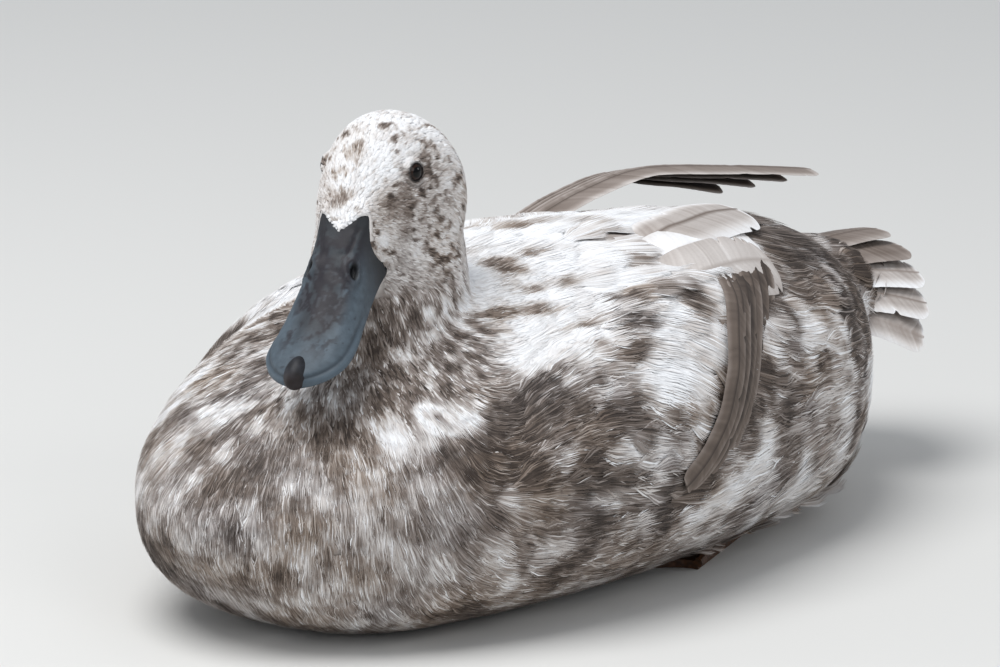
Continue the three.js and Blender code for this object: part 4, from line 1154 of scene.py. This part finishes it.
    # painted shade: the mouth's corner is nearly black, for the shadowed slit there
    gape = np.hypot(dd - 1.0, (z - 1.5) * 1.2)
    tone = mix(tone, painted_hollow_shade, (eased(4.2, 1.8, gape) * 0.95)[..., None])
    points, faces = capped(grid)
    colours = np.concatenate([tone.reshape(-1, 3), np.tile(slate, (2, 1))])
    return made_mesh("bill_upper_skin", moved(points, BILL), faces, colours)


def bill_lower():
    start, end, depth, inset = (LOWER_BILL[k] for k in ("start", "end", "depth", "inset"))
    dd, a = np.meshgrid(crowded(start - 3, end, 70), turns(64), indexing="ij")
    tip = rounding(end + 0.5 - dd, BILL_ROUND)
    x = np.cos(a) * (billed(dd) - inset) * tip
    z = np.sin(a) * np.where(np.sin(a) > 0, 0.3, depth * tip) - 0.6
    grid = np.stack([x, -dd, z], -1)
    points, faces = capped(grid)
    tone = mix(linear("#33383d"), linear("#4c555d"), spread_cloud(points, 6, 41)[:, None])
    return made_mesh("bill_lower_skin", moved(points, BILL), faces, tone)


def bill_nail():
    """The horny nail over the bill's tip, hooked a little over its end."""
    v, a = np.meshgrid(np.linspace(0.02, math.pi - 0.02, 48), turns(60), indexing="ij")
    x, y, z = np.sin(v) * np.cos(a), -np.cos(v), np.sin(v) * np.sin(a)
    grid = np.stack([x * NAIL["halfWidth"] * (1 - 0.12 * y), y * NAIL["halfLength"],
                     z * NAIL["halfHeight"]], -1)
    turned = Matrix.Translation((0, -NAIL["at"], NAIL["height"])) @ Matrix.Rotation(math.radians(14), 4, "X")
    points, faces = capped(grid)
    tone = mix(linear("#121215"), linear("#34353b"), spread_cloud(points, 3, 43)[:, None] * 0.8)
    tone = mix(tone, linear("#2a1d17"), (0.5 * eased(1.0, 5.0, -points[:, 1]))[:, None])
    return made_mesh("bill_nail_horn", moved(moved(points, turned), BILL), faces, tone)


# ------------------------------------------------------------------ eyes
def eye(side):
    """The eyeball, with the clear bulge over its iris, set along the eye's own axis."""
    v, a = np.meshgrid(np.linspace(0, math.radians(105), 60)[1:], turns(64), indexing="ij")
    bulge = EYE_RADIUS - 0.05 + 0.3 * np.exp(-(v / math.radians(32)) ** 2)
    grid = np.stack([np.cos(v), np.sin(v) * np.cos(a), np.sin(v) * np.sin(a)], -1) * bulge[..., None]
    if side > 0:
        grid = grid[:, ::-1]
    away = np.hypot(grid[..., 1], grid[..., 2])
    points, faces = capped(grid)
    away = np.hypot(points[:, 1], points[:, 2])
    grain = spread_cloud(points * [0.2, 1, 1], 0.9, 51)
    iris = mix(linear("#150e0a"), linear("#33211a"), (grain * 0.7)[:, None])
    colours = mix(linear("#020202"), iris, eased(1.75, 2.05, away)[:, None])
    colours = mix(colours, linear("#070505"), eased(2.7, 3.1, away)[:, None])
    points = points @ eye_axes(side) + np.array([side * EYE_SIDE, 0, 0])
    return made_mesh(f"eye_{'left' if side > 0 else 'right'}_ball", moved(points, HEAD), faces, colours)


# ------------------------------------------------------------------ the large feathers
def along_line(controls, t):
    """Points at shares t of the smooth line through a few points spaced evenly along it."""
    controls = np.asarray(controls, float)
    rows = [[k / (len(controls) - 1) for k in range(len(controls))], *controls.T]
    return np.stack([profile(np.array([rows[0], rows[k]]).T)(t) for k in (1, 2, 3)], -1)


def vane(controls, out, half, tones, tip=0.16, root=0.12, quill=0.0, arch=0.012, seed=0, slant=0.55):
    """One closed feather along a line: barbs slanting off its shaft, split here and there.
    tones are those of its middle, edge and shaft; quill is where its shaft lies across it."""
    rng = np.random.default_rng(seed)
    rings, across = 84, 25
    t, u = np.meshgrid(np.linspace(0, 1, rings), np.sin(np.linspace(-1, 1, across) * math.pi / 2),
                       indexing="ij")
    length = np.linalg.norm(np.diff(along_line(controls, np.linspace(0, 1, 30)), axis=0), axis=1).sum()
    wide = half * rounding(t + 0.03, root) ** 0.6 * rounding(1.02 - t, tip)
    off = u - quill
    # a few splits, where the barbs have come apart at the rim
    split = np.zeros_like(t)
    for _ in range(rng.integers(2, 6)):
        at, side = rng.uniform(0.25, 0.95), rng.choice([-1, 1])
        split = np.maximum(split, np.exp(-((t - at) * length / 0.9) ** 2) * eased(0.45, 1, u * side))
    x = u * wide * (1 - 0.22 * split)
    s = t + slant * np.abs(off) * wide / length * eased(0.0, 0.2, t) * eased(1.0, 0.8, t)
    s = np.clip(s, 0, 1)
    base = along_line(controls, s)
    step = along_line(controls, np.clip(s + 0.02, 0, 1)) - along_line(controls, np.clip(s - 0.02, 0, 1))
    way = unit(step)
    outward = np.broadcast_to(np.asarray(out, float), (2, 3))
    outward = unit(mix(outward[0], outward[1], s[..., None]))
    side = unit(np.cross(outward, way))
    outward = np.cross(way, side)
    barb = rng.normal(0, 1, 700)
    fine = np.interp(t * length / 0.85, np.arange(700), barb)
    broad = np.interp(t * length / 4.0, np.arange(700), barb[::-1])
    high = -arch * x * x + 0.035 * fine * eased(0.04, 0.3, np.abs(off)) - 0.3 * split
    high += 0.35 * np.exp(-(off * wide / 0.55) ** 2) * (1 - 0.6 * t)
    upper = base + side * x[..., None] + outward * high[..., None]
    lower = upper - outward * (0.55 * np.sqrt(np.maximum(1 - u * u, 0)) + 0.02)[..., None]
    middle, rim, shaft = tones
    tone = mix(middle, rim, eased(0.45, 1.0, np.maximum(np.abs(u), eased(0.86, 1.0, t))))
    tone = tone + 0.03 * fine + 0.02 * broad + 0.05 * (rng.normal(0, 1) * u)
    tone = mix(tone, shaft, np.exp(-(off * wide / 0.5) ** 2))
    grid = np.concatenate([upper, lower[:, -2:0:-1]], 1)
    tone = np.concatenate([tone, mix(tone, 0.75, 0.35)[:, -2:0:-1]], 1)
    points, faces = capped(grid)
    return points, faces, np.concatenate([tone.ravel(), [middle, middle]])


def feather_group(name, vanes):
    points, quads, fans, tones, count = [], [], [], [], 0
    for p, (q, f), tone in vanes:
        points.append(p)
        quads.append(q + count)
        fans.append(f + count)
        tones.append(tone)
        count += len(p)
    return made_mesh(name, np.concatenate(points), [np.concatenate(quads), np.concatenate(fans)],
                     shade(np.clip(np.concatenate(tones), 0, 1)))


def mirrored(points, side):
    return np.asarray(points, float) * [side, 1, 1]


# The rear edge of the folded wing: the line that its hanging flight feathers start from and follow.
WING_EDGE_INNER = [[60, 62, 108], [70, 54, 101], [82, 40, 92], [92, 27, 78], [96, 16, 64],
                   [97, 4, 53], [97, -8, 46]]
WING_EDGE_OUTER = [[50, 92, 110], [60, 85, 103], [71, 73, 90], [82, 59, 77], [90, 45, 64],
                   [94, 27, 49], [98, -4, 41]]
# Each flight feather: where it lies between the two lines, and where its tip ends along them.
HANGING = [(0.95, 0.52), (0.74, 0.66), (0.53, 0.78), (0.32, 0.87), (0.12, 0.94), (-0.06, 1.0)]


def wing_flight(side):
    made = []
    for k, (between, end) in enumerate(HANGING):
        t = np.linspace(0, end, 7)
        line = mix(along_line(WING_EDGE_INNER, t), along_line(WING_EDGE_OUTER, t), between)
        out = np.stack([line[:, 0] * 0.9, 0.15 * line[:, 0] + 6, (line[:, 2] - 48) * 1.3], -1)
        line = line + unit(out) * (-2.2 + 0.45 * k - 3.0 * eased(0.25, 0.0, np.linspace(0, 1, 7)))[:, None]
        ends = unit(out)[[0, -1]]
        tones = (0.93 - 0.06 * (k % 3), 0.62 + 0.06 * (k % 2), 1.0)
        made.append(vane(mirrored(line, side), mirrored(ends, side), 5.0, tones, tip=0.12, quill=0.1 * side,
                         seed=100 + k, arch=0.022))
    return feather_group(f"wing_{'left' if side > 0 else 'right'}_flight_vanes", made)


# The three broad feathers next to the back: root, middle and tip, and their tones.
TERTIAL_LINES = [([26, 24, 117], [28, 70, 119], [18, 119, 112], (0.42, 0.1, 0.75)),
                 ([38, 18, 114], [42, 60, 115], [36, 103, 107], (0.05, 0.12, 0.2)),
                 ([50, 14, 110], [57, 54, 110], [54, 93, 103], (0.34, 0.38, 0.45))]


def tertials(side):
    made = []
    for k, (root, middle, tip, tones) in enumerate(TERTIAL_LINES):
        root, middle, tip = (np.array(p, float) for p in (root, middle, tip))
        line = np.array([root - [0, 0, 14], mix(root, middle, 0.5) - [0, 0, 8], middle - [0, 0, 2.6],
                         mix(middle, tip, 0.5), tip])
        out = unit(np.array([[0.12 + 0.22 * k, 0, 1], [0.2 + 0.3 * k, 0.25, 1]]))
        made.append(vane(mirrored(line, side), mirrored(out, side), 15, tones, tip=0.3, root=0.3,
                         seed=130 + k,
                         arch=0.014))
    return made


def primaries(side):
    """The crossed tips of the long wing feathers, raised over the rump."""
    made = []
    for k in range(4):
        root = np.array([-48 - 4 * k, 76, 106 - 1.6 * k])
        middle = np.array([-42 - 5.5 * k, 138, 114.5 - 1.5 * k])
        tip = np.array([-14 - 6 * k, 205 - 11 * k, 107 - 1.2 * k])
        tones = (0.66 + 0.08 * k, 0.45, 0.9)
        out = unit(np.array([[-0.1, -0.25, 1], [0.0, -0.05, 1]]))
        line = [root - [0, 0, 4], mix(root, middle, 0.5) + [0, 0, 0.6], middle,
                mix(middle, tip, 0.5) + [0, 0, 1], tip]
        made.append(vane(mirrored(line, side), mirrored(out, side), 8.2, tones, tip=0.12, quill=0.25 * side,
                         seed=150 + k, arch=0.012))
    return made


def tail_fan():
    """The tail's feathers, spread in a low roof: brown grey at its middle, white edged at its sides."""
    made = []
    tones = {-1: (0.42, 0.12, 0.6), 0: (0.66, 0.45, 0.8), 1: (0.44, 0.1, 0.65)}
    count = FAN["count"]
    for k in [0, 8, 1, 7, 2, 6, 3, 5, 4]:
        across = -1 + 2 * k / (count - 1)
        angle = math.radians(FAN["spread"] * across)
        v = np.linspace(-0.35, 1, 6)
        reach = FAN["length"] * (1 - FAN["shorter"] * across ** 2) * v
        fall = FAN["roof"] * abs(across) ** FAN["curve"]
        rise = 0.7 * (1 - abs(across)) * 2
        line = np.stack([FAN["root_half_width"] * across + math.sin(angle) * reach,
                         FAN["root"] + math.cos(angle) * reach,
                         FAN["height"] - fall * mix(0.5, 1, v)
                         + FAN["arch"] * np.sin(math.pi * np.clip(v, 0, 1)) + rise], -1)
        out = unit(np.array([[0.9 * across, 0, 1], [0.75 * across, 0.0, 1]]))
        kind = 0 if abs(across) < 0.4 else int(np.sign(across))
        made.append(vane(line, out, 11, tones[kind], tip=0.27, quill=-0.2 * across, seed=170 + k, arch=0.013))
    return feather_group("tail_fan_vanes", made)


large_feathers = {
    "wing_left_flight": wing_flight(1),
    "wing_right_flight": wing_flight(-1),
    "wing_left_tertials": feather_group("wing_left_tertial_vanes", tertials(1)),
    "wing_right_primaries": feather_group("wing_right_primary_vanes", primaries(1)),
    "tail_feathers": tail_fan(),
}
bill_parts = [bill_upper(), bill_lower(), bill_nail()]
eyes = {side: eye(side) for side in (1, -1)}


# ------------------------------------------------------------------ materials
def node(tree, kind, settings=None, links=None):
    """Adds a node with its settings, and links its inputs to the outputs given."""
    made = tree.nodes.new(kind)
    for name, value in (settings or {}).items():
        if name in made.inputs:
            made.inputs[name].default_value = value
        else:
            setattr(made, name, value)
    for name, output in (links or {}).items():
        tree.links.new(output, made.inputs[name])
    return made


def surface(name, roughness, ior=1.5, **settings):
    material = bpy.data.materials.new(name)
    material.use_nodes = True
    tree = material.node_tree
    shader = tree.nodes["Principled BSDF"]
    shader.inputs["Roughness"].default_value = roughness
    shader.inputs["IOR"].default_value = ior
    for key, value in settings.items():
        shader.inputs[key.replace("_", " ")].default_value = value
    return material, tree, shader


def painted(tree, shader, grain_mm, depth_mm, strength, contrast=0.12):
    """The markings, with a grain in their brightness and in the relief."""
    marks = node(tree, "ShaderNodeAttribute", {"attribute_name": "markings"})
    place = node(tree, "ShaderNodeTexCoord")
    grain = node(tree, "ShaderNodeTexNoise", {"Scale": 1000 / grain_mm, "Detail": 3.0},
                 {"Vector": place.outputs["Object"]})
    level = node(tree, "ShaderNodeMapRange", {"To Min": 1 - contrast, "To Max": 1 + contrast},
                 {"Value": grain.outputs["Fac"]})
    tinted = node(tree, "ShaderNodeVectorMath", {"operation": "SCALE"},
                  {"Vector": marks.outputs["Color"], "Scale": level.outputs["Result"]})
    tree.links.new(tinted.outputs["Vector"], shader.inputs["Base Color"])
    relief = node(tree, "ShaderNodeBump", {"Strength": strength, "Distance": depth_mm / 1000},
                  {"Height": grain.outputs["Fac"]})
    tree.links.new(relief.outputs["Normal"], shader.inputs["Normal"])


# Down and contour feathers: dry keratin barbs, matte with a faint sheen where they catch the light.
plumage, tree, shader = surface("feather_keratin_matte", 0.82, 1.54)
painted(tree, shader, 0.9, 0.2, 0.25, 0.1)
# Soft skin of the bill: leathery and a little waxy, satin with faint pores.
bill_skin, tree, shader = surface("bill_skin_waxy", 0.52, 1.34)
painted(tree, shader, 0.7, 0.12, 0.35, 0.1)
# The nail: dense polished horn.
nail_horn, tree, shader = surface("nail_horn_polished", 0.5, 1.33)
painted(tree, shader, 1.2, 0.05, 0.2, 0.15)
# The eye: wet cornea over a dark iris.
eye_wet, tree, shader = surface("eye_wet_cornea", 0.04, 1.3)
painted(tree, shader, 0.5, 0.0, 0.0, 0.1)
# Feet: scaled skin, dull orange brown.
foot_skin, tree, shader = surface("foot_skin_scaled", 0.55, 1.45)
place = node(tree, "ShaderNodeTexCoord")
scales = node(tree, "ShaderNodeTexVoronoi", {"Scale": 1000 / 1.6}, {"Vector": place.outputs["Object"]})
tint = node(tree, "ShaderNodeMix", {"data_type": "RGBA"}, {"Factor": scales.outputs["Distance"]})
tint.inputs[6].default_value = (*linear("#5d3a1f"), 1)
tint.inputs[7].default_value = (*linear("#2d1c10"), 1)
tree.links.new(tint.outputs[2], shader.inputs["Base Color"])
relief = node(tree, "ShaderNodeBump", {"Strength": 0.5, "Distance": 0.0003},
              {"Height": scales.outputs["Distance"]})
tree.links.new(relief.outputs["Normal"], shader.inputs["Normal"])

for piece in [skin] + coat:
    piece.data.materials.append(plumage)
    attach(piece, "root")
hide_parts("trunk", "neck", "head", "tail", "wing_left", "wing_right")
for piece, cad, material, slot in (
    (bill_parts[0], "bill_upper", bill_skin, "bill"),
    (bill_parts[1], "bill_lower", bill_skin, "bill"),
    (bill_parts[2], "bill_nail", nail_horn, "bill_nail"),
    (eyes[1], "eye_left", eye_wet, "eye"),
    (eyes[-1], "eye_right", eye_wet, "eye"),
):
    piece.data.materials.append(material)
    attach(piece, "root")
    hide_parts(cad)
for name in ("foot_left", "foot_right", "leg_left", "leg_right"):
    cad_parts[name].data.materials.clear()
    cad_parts[name].data.materials.append(foot_skin)
for name, piece in large_feathers.items():
    piece.data.materials.append(plumage)
    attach(piece, "root")
    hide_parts(name)

# ------------------------------------------------------------------ floor, light and camera
pale, tree, shader = surface("floor_pale_card", 0.9)
shader.inputs["Base Color"].default_value = (*linear("#d9d8d5"), 1)
bpy.ops.mesh.primitive_plane_add(size=6, location=(0, 0, -0.0002))
floor = bpy.context.object
floor.name = "studio_floor"
floor.data.materials.append(pale)


def soft_light(name, at, towards, size, watts, tint="#ffffff"):
    lamp = bpy.data.lights.new(name, "AREA")
    lamp.shape, lamp.size, lamp.energy = "DISK", size, watts
    lamp.color = linear(tint)
    made = bpy.data.objects.new(name, lamp)
    bpy.context.scene.collection.objects.link(made)
    made.location = at
    made.rotation_euler = (Vector(towards) - Vector(at)).to_track_quat("-Z", "Y").to_euler()


soft_light("sky_softbox", (-0.2, -0.7, 1.9), (0, 0, 0.05), 1.5, 35)
soft_light("side_softbox", (1.5, -0.6, 0.9), (0, 0, 0.08), 1.0, 5)
soft_light("rear_softbox", (1.3, 1.15, 0.62), (0, -0.07, 0.15), 0.3, 2.5)
soft_light("low_softbox", (-1.6, -1.2, 0.5), (0, 0, 0.08), 1.0, 7)
world = bpy.data.worlds.new("studio")
bpy.context.scene.world = world
world.use_nodes = True
world.node_tree.nodes["Background"].inputs["Color"].default_value = (0.86, 0.92, 1.0, 1)
world.node_tree.nodes["Background"].inputs["Strength"].default_value = 0.42
bpy.context.scene.view_settings.view_transform = "Standard"

VIEW_AZIMUTH, VIEW_ELEVATION = math.radians(VIEW["turn"]), math.radians(VIEW["rise"])
VIEW_DISTANCE = VIEW["distance"] / 1000
VIEW_SCALE = VIEW["steps"] * 1000  # how many of the 1000 columns one metre spans at the duck
SENSOR = 36  # mm
OFF_AIM = (0.00324, 0.0239)  # how far right of the aim, and over it, the view's middle lies, in metres
towards_camera = Vector((math.sin(VIEW_AZIMUTH) * math.cos(VIEW_ELEVATION),
                         -math.cos(VIEW_AZIMUTH) * math.cos(VIEW_ELEVATION), math.sin(VIEW_ELEVATION)))
right = Vector((math.cos(VIEW_AZIMUTH), math.sin(VIEW_AZIMUTH), 0))
up = towards_camera.cross(right)
camera_data = bpy.data.cameras.new("camera")
camera_data.sensor_width = SENSOR
camera_data.lens = SENSOR * VIEW_SCALE * VIEW_DISTANCE / 1000
camera_data.clip_end = 20
camera = bpy.data.objects.new("camera", camera_data)
bpy.context.scene.collection.objects.link(camera)
aim = Vector(to_frame(VIEW["aim"])) + right * OFF_AIM[0] + up * OFF_AIM[1]
camera.location = aim + towards_camera * VIEW_DISTANCE
camera.rotation_euler = towards_camera.to_track_quat("Z", "Y").to_euler()
bpy.context.scene.camera = camera
